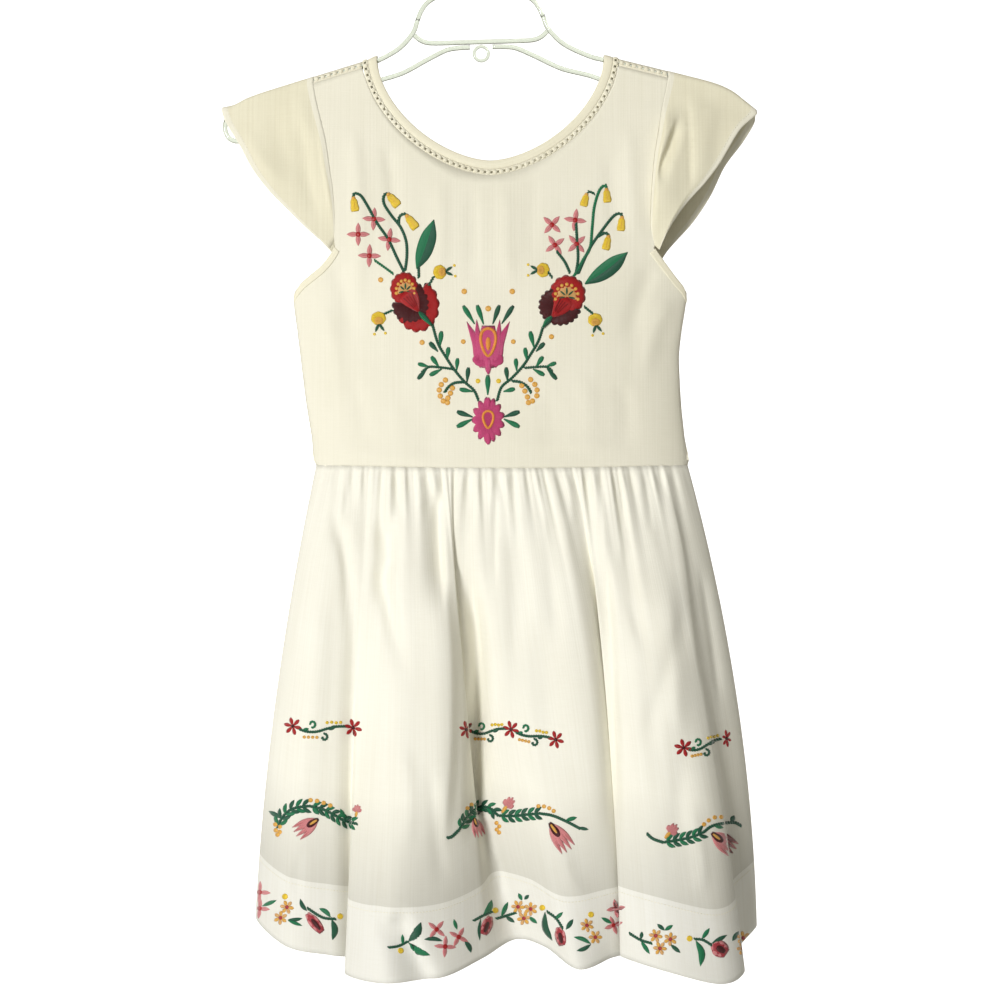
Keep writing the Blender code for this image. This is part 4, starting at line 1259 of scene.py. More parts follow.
# %% [markdown]
# ## Stitches in a hoop
#
# An embroiderer stretches the cloth flat in a hoop. The shapes here are made the same way, flat, in
# the photograph's pixels, with their height in millimetres, and are laid on the cloth afterwards. A
# satin shape is a grid that follows a line and swells in its middle, a stem is a row of slanting
# stitches, and a knot is a flattened ball.

# %% Stitches


def new_hoop():
    """An empty mesh for stitches, with a UV map for the threads."""
    bm = bmesh.new()
    bm.loops.layers.uv.new("thread")
    return bm


def colour_faces(made, thread):
    """Give the faces of new points their thread, and return those faces."""
    faces = {face for vertex in made for face in vertex.link_faces}
    for face in faces:
        face.material_index = THREAD_NAMES.index(thread)
    return faces


def shape_grid(bm, thread, segments, place, size, turned):
    """Add a grid and put its points where place says, from two shares; size is in millimetres."""
    maps = bm.loops.layers.uv.active
    made = bmesh.ops.create_grid(bm, x_segments=segments[0], y_segments=segments[1], size=0.5,
                                 calc_uvs=True)["verts"]
    share = np.array([vertex.co[:2] for vertex in made]) + 0.5
    points = place(share[:, 0], share[:, 1])
    for vertex, point in zip(made, points):
        vertex.co = point
    for face in colour_faces(made, thread):
        for loop in face.loops:
            uv = loop[maps].uv
            spot = (uv.x * size[0], uv.y * size[1])
            loop[maps].uv = spot[::-1] if turned else spot


# Widths of satin shapes along their length, as shares
LEAF = (0.12, 0.78, 1.0, 0.8, 0.1)
CLUB = (0.3, 0.55, 0.9, 1.0, 0.62)
PETAL = (0.3, 0.75, 1.0, 0.95, 0.35)
BELL = (0.35, 0.8, 0.85, 1.0, 0.9)
BAND = (1.0, 1.0, 1.0)


def satin(bm, thread, spine, width, shape=LEAF, rise=0.8, side=0, lengthwise=False, closed=False,
          segments=(10, 5)):
    """A satin shape along a spine in pixels; side is -1 or 1 for only one half of a leaf."""
    spine = np.asarray(spine, dtype=float)
    if len(spine) == 2:
        spine = np.array((spine[0], spine.mean(axis=0), spine[1]))
    shares = np.linspace(0.0, 1.0, 33)
    fine = along(spine, shares)
    if closed:
        way = np.gradient(np.vstack((fine[-2], fine, fine[1])), axis=0)[1:-1]
    else:
        way = np.gradient(fine, axis=0)
    way /= np.linalg.norm(way, axis=1, keepdims=True) + 1e-9
    length = np.linalg.norm(np.diff(fine, axis=0), axis=1).sum() * PIXEL

    def place(s, t):
        here = at_length(fine, shares, s)
        ahead = at_length(way, shares, s)
        half = along(np.reshape(shape, (-1, 1)), s)[:, 0] * 0.5 * width
        out = 2.0 * t - 1.0 if side == 0 else side * t
        swell = np.sqrt(np.maximum(1.0 - (2.0 * t - 1.0) ** 2, 0.0))
        if side != 0:
            swell = np.sqrt(1.0 - t ** 2) * np.minimum(1.0, 0.5 + 2.0 * t)
        if not closed:
            swell = swell * np.minimum(1.0, 6.0 * np.minimum(s, 1.0 - s) + 0.35)
        return np.column_stack((here[:, 0] - ahead[:, 1] * out * half,
                                here[:, 1] + ahead[:, 0] * out * half, rise * swell - SUNK))
    shape_grid(bm, thread, segments, place, (length, width * PIXEL), lengthwise)


def fan(bm, thread, centre, radii, angles, lobes, rise=1.0, inner=0.0, turn=0.0, scallop=0.09,
        pleat=0.12):
    """A scalloped, pleated part of an ellipse, its threads running outwards."""
    start, end = np.radians(angles)
    turned = math.radians(turn)

    def place(s, t):
        angle = start + (end - start) * s
        wave = np.abs(np.sin(np.pi * lobes * s))
        reach = (inner + (1.0 - inner) * t) * (1.0 - scallop * t * (1.0 - wave))
        x = radii[0] * reach * np.cos(angle)
        y = radii[1] * reach * np.sin(angle)
        swell = np.sqrt(np.maximum(1.0 - t ** 4, 0.0)) * (0.75 + 0.25 * t)
        height = rise * swell + pleat * wave * t * (t < 0.99) - SUNK * (t > 0.99)
        return np.column_stack((centre[0] + x * math.cos(turned) - y * math.sin(turned),
                                centre[1] + x * math.sin(turned) + y * math.cos(turned), height))
    length = abs(end - start) * 0.5 * (radii[0] + radii[1]) * PIXEL
    shape_grid(bm, thread, (max(8, 4 * lobes), 5), place, (length, max(radii) * PIXEL), False)


def knot(bm, thread, centre, radius, height=1.0, detail=2):
    """A small round knot or a dot of satin stitch."""
    matrix = Matrix.Translation((centre[0], centre[1], KNOT_LIFT)) @ Matrix.Diagonal(
        (radius, radius, height, 1.0))
    made = bmesh.ops.create_icosphere(bm, subdivisions=detail, radius=1.0, matrix=matrix,
                                      calc_uvs=True)["verts"]
    colour_faces(made, thread)


def stem(bm, thread, line, width=2.8, pitch=2.3):
    """A stem-stitched line in pixels: slanting stitches that overlap like the strands of a rope."""
    fine = along(line, np.linspace(0.0, 1.0, 12 * len(line)))
    run = line_length(fine)
    count = max(int(run[-1] / pitch), 2)
    for spot in (np.arange(count) + 0.5) * run[-1] / count:
        here = at_length(fine, run, spot)
        ahead = at_length(fine, run, spot + 0.3)
        angle = math.atan2(ahead[1] - here[1], ahead[0] - here[0]) + STEM_SLANT
        matrix = (Matrix.Translation((here[0], here[1], KNOT_LIFT))
                  @ Matrix.Rotation(angle, 4, "Z")
                  @ Matrix.Diagonal((1.1 * pitch, 0.5 * width, STEM_HEIGHT, 1.0)))
        made = bmesh.ops.create_icosphere(bm, subdivisions=1, radius=1.0, matrix=matrix,
                                          calc_uvs=True)["verts"]
        colour_faces(made, thread)


# %% [markdown]
# ## Laying the stitches on the cloth
#
# A shape in the hoop is laid on the dress along the line of sight, as a projector would: a ray from
# the camera's place finds the cloth, and the stitch rises from it by its own height. Where the cloth
# falls away far behind a fold, the shape has a gap. The back of the skirt is sewn from behind.

# %% Sewing
DEEP_STEP = 24.0 * MM                               # a face that spans more depth is taken out


def cloth_tree(thing):
    """A search tree over a piece of cloth."""
    corners = [tuple(vertex.co) for vertex in thing.data.vertices]
    faces = [tuple(polygon.vertices) for polygon in thing.data.polygons]
    return BVHTree.FromPolygons(corners, faces)


def sew(name, hoop, cloth, facing=-1):
    """Lay a hoop of stitches on a piece of cloth, close their undersides and join them."""
    tree = cloth_tree(cloth)
    eye = Vector((SEEN_MIDDLE[0], facing * CAMERA_AWAY, SEEN_MIDDLE[1])) * MM
    lost = []
    depths = {}
    for vertex in hoop.verts:
        across, down, height = vertex.co
        aim = Vector((SEEN_MIDDLE[0] + (across - PICTURE_MIDDLE) * PIXEL, 0.0,
                      SEEN_MIDDLE[1] - (down - PICTURE_MIDDLE) * PIXEL)) * MM
        sight = (aim - eye).normalized()
        hit = tree.ray_cast(eye, sight)[0]
        if hit is None:
            lost.append(vertex)
            continue
        vertex.co = hit - sight * height * MM
        depths[vertex] = hit.y
    bmesh.ops.delete(hoop, geom=lost, context="VERTS")
    torn = [face for face in hoop.faces
            if max(depths[v] for v in face.verts) - min(depths[v] for v in face.verts) > DEEP_STEP]
    bmesh.ops.delete(hoop, geom=torn, context="FACES")
    bmesh.ops.remove_doubles(hoop, verts=hoop.verts, dist=0.02 * MM)
    rims = [edge for edge in hoop.edges if edge.is_boundary]
    bmesh.ops.holes_fill(hoop, edges=rims, sides=0)
    bmesh.ops.recalc_face_normals(hoop, faces=hoop.faces)
    thing = new_piece(name, hoop, THREADS)
    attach(thing, "root")
    print(name, "has", len(thing.data.polygons), "faces")


# %% [markdown]
# ## Flowers of the body
#
# Two sprays rise from a pink flower in the middle, each with a poppy, bellflowers on hooked stems,
# small stars and a big leaf, and a tulip stands between them. These are the common flowers of a
# traditional folk embroidery. Each kind is drawn once, by a few curves, and is set at the places of a
# table.

# %% Kinds of flowers


def heading(degrees):
    """A step of one pixel in a direction, clockwise from the right."""
    angle = math.radians(degrees)
    return np.array((math.cos(angle), math.sin(angle)))


def span(base, tip):
    """A shape's base and tip as arrays, and the way between them."""
    base = np.array(base, dtype=float)
    tip = np.array(tip, dtype=float)
    return base, tip, tip - base


def sideways(way):
    """A way turned by a quarter."""
    return np.array((-way[1], way[0]))


def star(bm, centre, reach, turn, width=5.8):
    """A small flower with pointed petals, a darker line in each and a knot in its middle."""
    for number in range(4):
        way = heading(turn + 90.0 * number)
        satin(bm, "salmon", (centre, np.array(centre) + way * reach), width,
              (0.5, 0.9, 1.0, 0.7, 0.12), 0.6, segments=(8, 4))
        satin(bm, "rose red", (centre, centre + way * reach * 0.8), 0.9, (1.0, 0.8, 0.4), 0.9,
              segments=(4, 2))
    knot(bm, "red", centre, 0.2 * reach + 0.4, 1.1)


def small_leaf(bm, thread, base, tip, width, bend=0.0, shape=LEAF, rise=0.8):
    """A small satin leaf from its base to its tip, bent to one side."""
    base, tip, way = span(base, tip)
    middle = 0.5 * (base + tip) + sideways(way) * bend
    satin(bm, thread, (base, middle, tip), width, shape, rise, segments=(9, 4))


def big_leaf(bm, line, width):
    """A leaf in two halves of different greens, with a groove for its vein."""
    for thread, side in (("dark green", 1), ("leaf green", -1)):
        satin(bm, thread, line, width, (0.1, 0.75, 1.0, 0.85, 0.05), 0.9, side=side,
              segments=(16, 5))


def bell(bm, top, end, width):
    """A bellflower: a flared yellow cup under a darker cap."""
    top, end, way = span(top, end)
    satin(bm, "yellow", (top, end), 1.25 * width, BELL, 1.0, lengthwise=True)
    satin(bm, "gold", (top + 0.25 * way, top + 0.92 * way), 0.2 * width, (0.5, 1.0, 0.6), 1.4,
          segments=(6, 2))
    satin(bm, "gold", (top - 0.1 * way, top + 0.16 * way), 0.62 * width, (0.6, 1.0, 0.8), 1.4,
          segments=(5, 4))


def cup_flower(bm, centre, reach, turn):
    """A small yellow cup seen from its side, with green tips and golden knots at its mouth."""
    way = heading(turn)
    across = sideways(way)
    centre = np.array(centre, dtype=float)
    fan(bm, "yellow", centre - 0.1 * reach * way, (0.98 * reach, 1.08 * reach), (0, 360), 7, 0.8,
        turn=turn, scallop=0.06)
    fan(bm, "gold", centre + 0.22 * reach * way, (0.6 * reach, 0.72 * reach), (0, 360), 5, 1.4,
        turn=turn, scallop=0.05)
    for lean in (-0.45, 0.45):
        tip = centre + (way * 1.25 + across * lean) * 1.35 * reach
        small_leaf(bm, "dark green", centre + way * 0.6 * reach, tip, 0.46 * reach, rise=1.5)
        knot(bm, "yellow", tip + (way + across * lean) * 0.3 * reach, 0.2 * reach, 0.8)


def poppy(bm, flip, cup, back_petals, heart, calyx):
    """A poppy: scalloped petals behind, a red cup, golden stamens and a striped bud in front."""
    for thread, centre, radii, angles, lobes, rise in back_petals:
        fan(bm, thread, centre, radii, angles, lobes, rise, inner=0.08, pleat=0.3)
    centre, radii = cup
    fan(bm, "red", centre, radii, (0, 360), 13, 1.5, pleat=0.25)
    middle = np.array(centre) + (flip * 0.8, 2.0)
    fan(bm, "peach", middle, (0.66 * radii[0], 0.62 * radii[1]), (150, 390), 9, 1.9,
        turn=flip * 8.0, scallop=0.16)
    for number in range(9):
        way = heading(168.0 + 25.5 * number if flip > 0 else 372.0 - 25.5 * number) * radii
        knot(bm, "gold", middle + 0.6 * way, 2.1, 2.4)
        if number % 2 == 0:
            small_leaf(bm, "dark green", middle + 0.08 * way, middle + 0.46 * way, 3.0, rise=2.5)
    line, width = heart
    satin(bm, "red", line, width, (0.7, 1.0, 0.85, 0.5, 0.08), 2.6, lengthwise=True,
          segments=(14, 8))
    base, _, way = span(line[0], line[-1])
    across = sideways(way) / np.linalg.norm(way)
    for lean in (-0.55, -0.2, 0.15, 0.5):
        root = base + way * 0.12 + across * lean * 0.42 * width
        satin(bm, "maroon", (root, base + way * 0.8 + across * lean * 0.14 * width), 1.7,
              (0.6, 1.0, 0.3), 3.4, segments=(7, 2))
    for thread, side in (("leaf green", 1), ("dark green", -1)):
        satin(bm, thread, calyx, 6.4, (0.15, 0.9, 1.0, 0.7, 0.4), 3.0, side=side)


def leafy_spray(bm, spray):
    """A stem with pairs of leaves, a side branch and a cluster of berries."""
    for part, width in (("main", 2.6), ("branch", 2.2), ("berries", 2.8)):
        stem(bm, "dark green", spray[part], width)
    for number, (base, tip, width) in enumerate(spray["leaves"]):
        small_leaf(bm, ("leaf green", "dark green", "leaf green")[number % 3], base, tip, width,
                   shape=CLUB)
    for centre in spray["knots"]:
        knot(bm, "gold", centre, 2.8, 1.0)


def sew_spray(name, spray, flip):
    """Sew a spray: stems, stars, bells, a big leaf, two cups, the poppy and a leafy branch."""
    hoop = new_hoop()
    for thread, width, line in spray["stems"]:
        stem(hoop, thread, line, width)
    for centre, turn in spray["stars"]:
        star(hoop, centre, spray["star reach"], turn)
    for top, end, width in spray["bells"]:
        bell(hoop, top, end, width)
    big_leaf(hoop, *spray["big leaf"])
    for centre, reach, turn in spray["cups"]:
        cup_flower(hoop, centre, reach, turn)
    poppy(hoop, flip, *spray["poppy"])
    leafy_spray(hoop, spray)
    sew(name, hoop, bodice)


# %% Left spray
bodice = PIECES["voile_bodice_front"]
SPRAY_LEFT = {
    "stems": (
        ("dark green", 2.8, ((403.5, 271), (397, 258), (388, 239), (377, 223), (367, 205),
                             (360.6, 195.5), (354.5, 193.5), (353.2, 197))),
        ("dark green", 2.8, ((405, 271), (406.8, 256), (406, 241), (400.4, 227), (391, 215),
                             (384, 203.7), (384, 195.5), (388.5, 193))),
        ("dark green", 2.8, ((398.6, 225), (399.4, 217), (404.0, 213.9), (408.0, 216))),
        ("leaf green", 2.0, ((393.5, 274), (384, 267), (374, 260))),
        ("dark green", 2.6, ((418.8, 278), (418.6, 268))),
        ("dark green", 2.4, ((428.5, 286), (434, 276))),
        ("dark green", 2.2, ((393, 310), (384, 314)))),
    "stars": (((373.9, 219), 4), ((358.2, 234.3), 0), ((389.2, 239.4), 8), ((369.4, 255.7), 2)),
    "star reach": 11.6,
    "bells": (((353.4, 197.5), (355.4, 211.5), 7.6), ((388.0, 194.0), (398.4, 206.0), 8.4),
              ((406.6, 215.5), (416.5, 228.5), 8.4)),
    "big leaf": (((416.8, 269), (425.5, 247), (434.0, 219.6)), 17.5),
    "cups": (((440.5, 272), 7.2, -5), ((378.6, 319), 7.4, 85)),
    "poppy": (((404.5, 289), (15, 18)),
              (("red", (417.5, 306), (23, 27.5), (-70, 158), 9, 0.9),
               ("maroon", (411.5, 303.5), (20.5, 22.5), (-74, 184), 13, 1.25)),
              (((404.5, 291.5), (412, 301), (419.2, 312.5)), 23.0),
              ((418.2, 311), (425, 318), (432.5, 326))),
    "main": ((432.5, 325), (438, 343.5), (446.3, 357.8), (454.5, 370), (464.7, 382), (473.9, 390.4),
             (478.6, 400.5)),
    "branch": ((452.4, 369), (441, 367.5), (429, 367), (422, 372)),
    "berries": ((463.7, 382), (454.5, 383), (448.4, 387), (444.5, 392.5)),
    "leaves": (((440, 346.5), (441.4, 331), 5.6), ((438, 351.6), (429.4, 342.2), 5.6),
               ((447.3, 359), (448.5, 347), 5.2), ((456.5, 371), (457.6, 358), 4.8),
               ((467, 382.5), (468.4, 367.3), 5.2), ((473, 391.6), (459.4, 389.2), 5.2),
               ((429, 366.6), (417.8, 363.7), 4.8), ((427, 368.5), (417.8, 379.2), 5.2),
               ((439, 367), (431.2, 356.4), 5.4), ((442, 369), (429.6, 375.4), 5.2)),
    "knots": ((445.4, 380), (441.2, 384.6), (439.2, 390), (440.2, 396), (443.2, 401), (447.8, 398),
              (450.4, 393.2), (452.4, 388), (447.4, 402.6))}
sew_spray("embroidered_left_spray", SPRAY_LEFT, 1)

# %% Right spray
SPRAY_RIGHT = {
    "stems": (
        ("leaf green", 2.8, ((574, 276), (583, 260), (590, 247.6), (592.2, 227), (594.3, 206.7),
                             (599.4, 190.4), (605, 185.3), (606.6, 189))),
        ("dark green", 2.0, ((595, 194), (589, 191.6), (587, 194))),
        ("dark green", 2.8, ((578, 274), (589, 249.6), (601.4, 231.2), (613.7, 216),
                             (620.6, 213.8), (622.0, 218))),
        ("dark green", 2.8, ((597.3, 237), (605, 233), (609.6, 236))),
        ("dark green", 2.8, ((570, 273), (564.7, 261.8), (556.5, 251))),
        ("dark green", 2.8, ((576, 273), (578, 257.8), (577, 240), (576, 223))),
        ("dark green", 2.4, ((552.6, 278), (547.3, 271))),
        ("dark green", 2.2, ((584, 306.5), (593.3, 314)))),
    "stars": (((552, 224.7), 42), ((575.2, 220), 8), ((555, 245), 55), ((576.7, 243.9), 48)),
    "star reach": 11.4,
    "bells": (((606.4, 189), (607.6, 202.6), 7.4), ((586.6, 194), (583.4, 206.4), 7.2),
              ((622.0, 217), (620.8, 231), 7.4), ((608.6, 236), (605.6, 250), 7.4)),
    "big leaf": (((585.0, 284), (606.5, 270), (627.8, 252.2)), 17.0),
    "cups": (((542.4, 270), 7.2, 180), ((595.3, 320.4), 7.2, 80)),
    "poppy": (((567.6, 294.6), (19, 20.5)),
              (("maroon", (560, 306), (22.5, 20.5), (10, 255), 14, 1.2),),
              (((567, 297), (560, 308), (551.6, 317.4)), 22.0),
              ((552.4, 315.6), (547, 322), (542.6, 328))),
    "main": ((543.3, 326), (538.2, 341.4), (531, 353.7), (522.9, 366), (511.6, 378.2),
             (501.4, 387.3), (497.0, 401)),
    "branch": ((523.9, 368), (536, 367), (547, 367), (553, 372)),
    "berries": ((511.6, 381), (519.8, 382), (527, 386.3), (531.4, 393)),
    "leaves": (((534, 347.5), (530, 331.2), 5.6), ((536, 351.6), (544.5, 342.8), 5.4),
               ((527, 361), (524.9, 347.6), 5.2), ((516.7, 371), (515.7, 358.4), 5.0),
               ((507.6, 381.5), (506, 367.2), 5.2), ((503.3, 391.6), (515, 388.8), 5.2),
               ((546, 366.6), (556.2, 362.7), 4.8), ((547, 368.5), (556.8, 379.4), 5.2),
               ((536, 367), (543, 356.4), 5.4), ((533, 369), (544.5, 375.2), 5.2)),
    "knots": ((530.6, 379.6), (534.8, 384.4), (537, 390), (536.8, 395.8), (532.4, 401),
              (527.4, 397), (524.8, 391), (521.8, 385.6), (528.4, 402.6))}
sew_spray("embroidered_right_spray", SPRAY_RIGHT, -1)

# %% Middle of the body
hoop = new_hoop()
MIDDLE = 488.2
for side in (-1, 1):
    outer = ((MIDDLE + side * 4, 366), (MIDDLE + side * 9, 356), (MIDDLE + side * 12, 342),
             (MIDDLE + side * 21.5, 321.5))
    satin(hoop, "pink", outer, 11.5, (0.9, 1.0, 0.95, 0.7, 0.06), 1.0, lengthwise=True,
          segments=(14, 6))
    inner = ((MIDDLE + side * 5, 364), (MIDDLE + side * 9.4, 345), (MIDDLE + side * 11.6, 319.5))
    satin(hoop, "pink", inner, 10.0, (0.7, 1.0, 0.9, 0.6, 0.05), 1.3, lengthwise=True,
          segments=(12, 5))
    fan(hoop, "pink", (MIDDLE + side * 8, 359.5), (8.2, 7), (0, 360), 5, 1.2, pleat=0.2)
    for base, tip in (((MIDDLE + side * 13.5, 324), (MIDDLE + side * 25.2, 305.6)),
                      ((MIDDLE + side * 4.5, 324.4), (MIDDLE + side * 11.2, 305))):
        small_leaf(hoop, "leaf green" if side * tip[0] < side * 470 + 9 else "dark green", base,
                   tip, 5.6, shape=CLUB)
    knot(hoop, "gold", (MIDDLE + side * 24, 291.4), 2.9, 1.0)
    knot(hoop, "gold", (MIDDLE + side * 25, 341.6), 2.5, 0.9)
    knot(hoop, "yellow", (MIDDLE + side * 10.3, 381), 2.5, 0.9)
    for tip_y, base_y in ((411.6, 417), (427, 419)):
        small_leaf(hoop, "dark green" if tip_y < 415 else "leaf green",
                   (MIDDLE + side * 15.5, base_y), (MIDDLE + side * 31.5, tip_y), 5.8,
                   shape=CLUB)
satin(hoop, "pink", ((MIDDLE, 368), (MIDDLE, 345), (MIDDLE, 325.5)), 19.0, (0.7, 1.0, 0.95, 0.75),
      1.5, lengthwise=True, segments=(12, 7))
satin(hoop, "pink", ((MIDDLE, 357), (MIDDLE, 374.5)), 7.4, (0.6, 1.0, 1.0, 0.8, 0.2), 2.0,
      lengthwise=True)


def drop_ring(bm, thread, top, bottom, width, thick, rise):
    """A satin band round a drop shape."""
    turn = np.linspace(0.0, 2.0 * np.pi, 25)
    middle = 0.5 * (top + bottom)
    ring = np.column_stack((MIDDLE + 0.5 * width * np.sin(turn) * (1.0 + 0.35 * np.cos(turn)),
                            middle - 0.5 * (bottom - top) * np.cos(turn)))
    satin(bm, thread, ring, thick, BAND, rise, closed=True, segments=(40, 4))


drop_ring(hoop, "orange", 328.5, 356.0, 14.5, 4.2, 2.3)
satin(hoop, "orange", ((MIDDLE, 351), (MIDDLE, 336.5)), 7.0, (0.2, 0.8, 1.0, 0.9, 0.4), 2.4)
knot(hoop, "gold", (MIDDLE, 308.6), 3.0, 1.0)
small_leaf(hoop, "leaf green", (MIDDLE - 0.4, 395), (MIDDLE - 0.4, 375), 6.0, shape=CLUB)
fan(hoop, "pink", (MIDDLE, 420), (17.5, 24), (0, 360), 13, 1.1, scallop=0.24, pleat=0.45)
satin(hoop, "pink", ((MIDDLE, 408), (MIDDLE, 397.4)), 6.0, PETAL, 1.6)
satin(hoop, "pink", ((MIDDLE, 432), (MIDDLE, 444.6)), 6.4, PETAL, 1.6)
drop_ring(hoop, "orange", 411.0, 428.0, 10.0, 3.6, 2.1)
for centre in ((380.6, 279.8), (422, 342.4), (551.4, 336.7)):
    knot(hoop, "gold", centre, 2.7, 0.9)
sew("embroidered_middle", hoop, bodice)

# %% [markdown]
# ## Flowers of the skirt
#
# Two rows of garlands and a border run round the skirt. The upper row repeats a pair of red
# flowers with a curling stem, the lower one a leafy branch with a tulip and a small fan, and the
# border mixes stars, daisies, buds and leaves. The photo shows the front only. The back has the same
# rows at the same heights, as a guess.

# %% Kinds of garland
RED_REACH = 9.0                                     # pixels from a flower's middle to its tips
DAISY_REACH = 7.0


def red_flower(bm, centre, squeeze):
    """A red flower of six rounded petals with darker hearts."""
    centre = np.array(centre, dtype=float)
    for number in range(6):
        way = heading(15.0 + 60.0 * number) * (squeeze, 1.0)
        satin(bm, "red", (centre + 0.12 * RED_REACH * way, centre + RED_REACH * way),
              4.2 * squeeze ** 0.5, (0.4, 0.75, 1.0, 0.95, 0.4), 0.8, segments=(7, 4))
    knot(bm, "maroon", centre, 0.2 * RED_REACH, 1.1)


def curl(bm, thread, centre, reach, turn, flip):
    """A small spiral of stem stitch."""
    angles = np.radians(turn) + flip * np.linspace(0.0, 1.6 * np.pi, 9)
    radii = reach * np.linspace(1.0, 0.42, 9)
    line = np.column_stack((centre[0] + radii * np.cos(angles), centre[1] + radii * np.sin(angles)))
    stem(bm, thread, line, 2.6, 1.7)


def red_garland(bm, start, end, sag):
    """Two curls and two rows of knots on a stem between two red flowers."""
    start, end, way = span(start, end)
    down = np.array((0.0, 1.0))
    line = [start + way * share + down * sag * bend for share, bend in
            ((0.1, 0.5), (0.24, 0.95), (0.4, 0.9), (0.56, 0.35), (0.72, -0.1), (0.88, -0.2))]
    stem(bm, "dark green", line, 2.6)
    curl(bm, "leaf green", start + way * 0.32 + down * (sag - 8.0), 3.8, 95, -1)
    curl(bm, "dark green", start + way * 0.52 + down * (sag + 5.0), 3.8, -95, 1)
    small_leaf(bm, "dark green", start + way * 0.6 + down * 3.0,
               start + way * 0.72 + down * (0.5 - sag * 0.4), 4.6)
    small_leaf(bm, "leaf green", start + way * 0.16 + down * (1.0 + 0.5 * sag),
               start + way * 0.27 + down * (sag - 3.2), 3.8)
    for number in range(4):
        above = start + way * (0.57 + 0.075 * number) + down * (-4.4 - 0.5 * (number % 2))
        knot(bm, "yellow", above, 1.9, 0.8, 1)
        below = start + way * (0.19 + 0.07 * number) + down * (sag + 5.2)
        knot(bm, "gold", below, 1.9, 0.8, 1)


def feathers(bm, line, pitch=6.4, length=11.0):
    """Pairs of slanting leaves along a stem."""
    fine = along(line, np.linspace(0.0, 1.0, 12 * len(line)))
    run = line_length(fine)
    stem(bm, "dark green", line, 2.8)
    for number in range(int(run[-1] / pitch)):
        spot = (number + 0.5) * pitch
        here = at_length(fine, run, spot)
        way = at_length(fine, run, spot + 0.5) - here
        way /= np.linalg.norm(way)
        for flip in (-1, 1):
            tip = here + (way * 0.8 + sideways(way) * flip * 0.62) * length
            small_leaf(bm, "leaf green" if (number + flip) % 2 else "dark green", here, tip, 4.6,
                       0.08 * flip)


def tulip(bm, base, mouth, width):
    """A side view of a tulip: salmon petals, a maroon drop and a golden one inside."""
    base, mouth, way = span(base, mouth)
    across = sideways(way) / np.linalg.norm(way)
    for lean in (-0.42, -0.14, 0.16, 0.42):
        root = base + way * 0.1
        waist = base + way * 0.5 + across * lean * 0.85 * width
        tip = base + way * (1.0 - 0.18 * abs(lean)) + across * lean * 1.15 * width
        satin(bm, "salmon", (root, waist, tip), 0.46 * width, (0.7, 1.0, 0.9, 0.6, 0.15),
              0.9 + 0.25 * (abs(lean) < 0.2), lengthwise=True, segments=(10, 4))
        satin(bm, "rose red", (waist, tip - way * 0.06), 0.8, (0.7, 1.0, 0.5), 1.35,
              segments=(5, 2))
    satin(bm, "maroon", (base + way * 0.02, base + way * 0.52), 0.62 * width,
          (0.35, 0.7, 1.0, 0.95, 0.4), 1.5)
    satin(bm, "gold", (base + way * 0.06, base + way * 0.4), 0.26 * width,
          (0.5, 0.8, 1.0, 0.8, 0.3), 1.9)


def small_fan(bm, base, tip, width):
    """A pleated pink flower seen from its side, on a golden foot."""
    base, tip, way = span(base, tip)
    turn = math.degrees(math.atan2(way[1], way[0]))
    heart = base + way * 0.35
    fan(bm, "salmon", heart, (0.7 * np.linalg.norm(way), 0.5 * width), (-80, 80), 5, 1.0,
        turn=turn, scallop=0.2, pleat=0.3)
    satin(bm, "gold", (base, heart + way * 0.12), 0.3 * width, (0.6, 0.9, 1.0, 0.6), 1.3)


def daisy(bm, centre, turn):
    """A small orange daisy with a dark red heart."""
    centre = np.array(centre, dtype=float)
    for number in range(6):
        way = heading(turn + 60.0 * number)
        satin(bm, "peach" if number % 2 else "gold", (centre + way, centre + DAISY_REACH * way),
              4.0, PETAL, 0.8, segments=(6, 4))
    knot(bm, "rose red", centre, 2.1, 1.2)


def bud(bm, base, tip, width):
    """A half open bud: dark red, pink at its edge."""
    base, tip, way = span(base, tip)
    turn = math.degrees(math.atan2(way[1], way[0]))
    fan(bm, "salmon", base + 0.44 * way, (0.58 * np.linalg.norm(way), 0.52 * width), (-180, 180), 7,
        0.9, turn=turn, scallop=0.14, pleat=0.2)
    satin(bm, "rose red", (base - 0.06 * way, tip - 0.02 * way), 1.06 * width,
          (0.35, 0.85, 1.0, 0.9, 0.6), 1.15)
    satin(bm, "maroon", (base + 0.2 * way, tip - 0.12 * way), 0.56 * width,
          (0.4, 0.9, 1.0, 0.8, 0.5), 1.7)


# %% Upper and lower garlands
ROW_ONE = (((292.7, 726.2), (353.0, 727.6), 5.4), ((466.8, 729.0), (510.9, 729.6), 4.6),
           ((510.9, 729.6), (555.6, 739.4), 3.0), ((684, 747.6), (726.6, 738.6), 5.0))


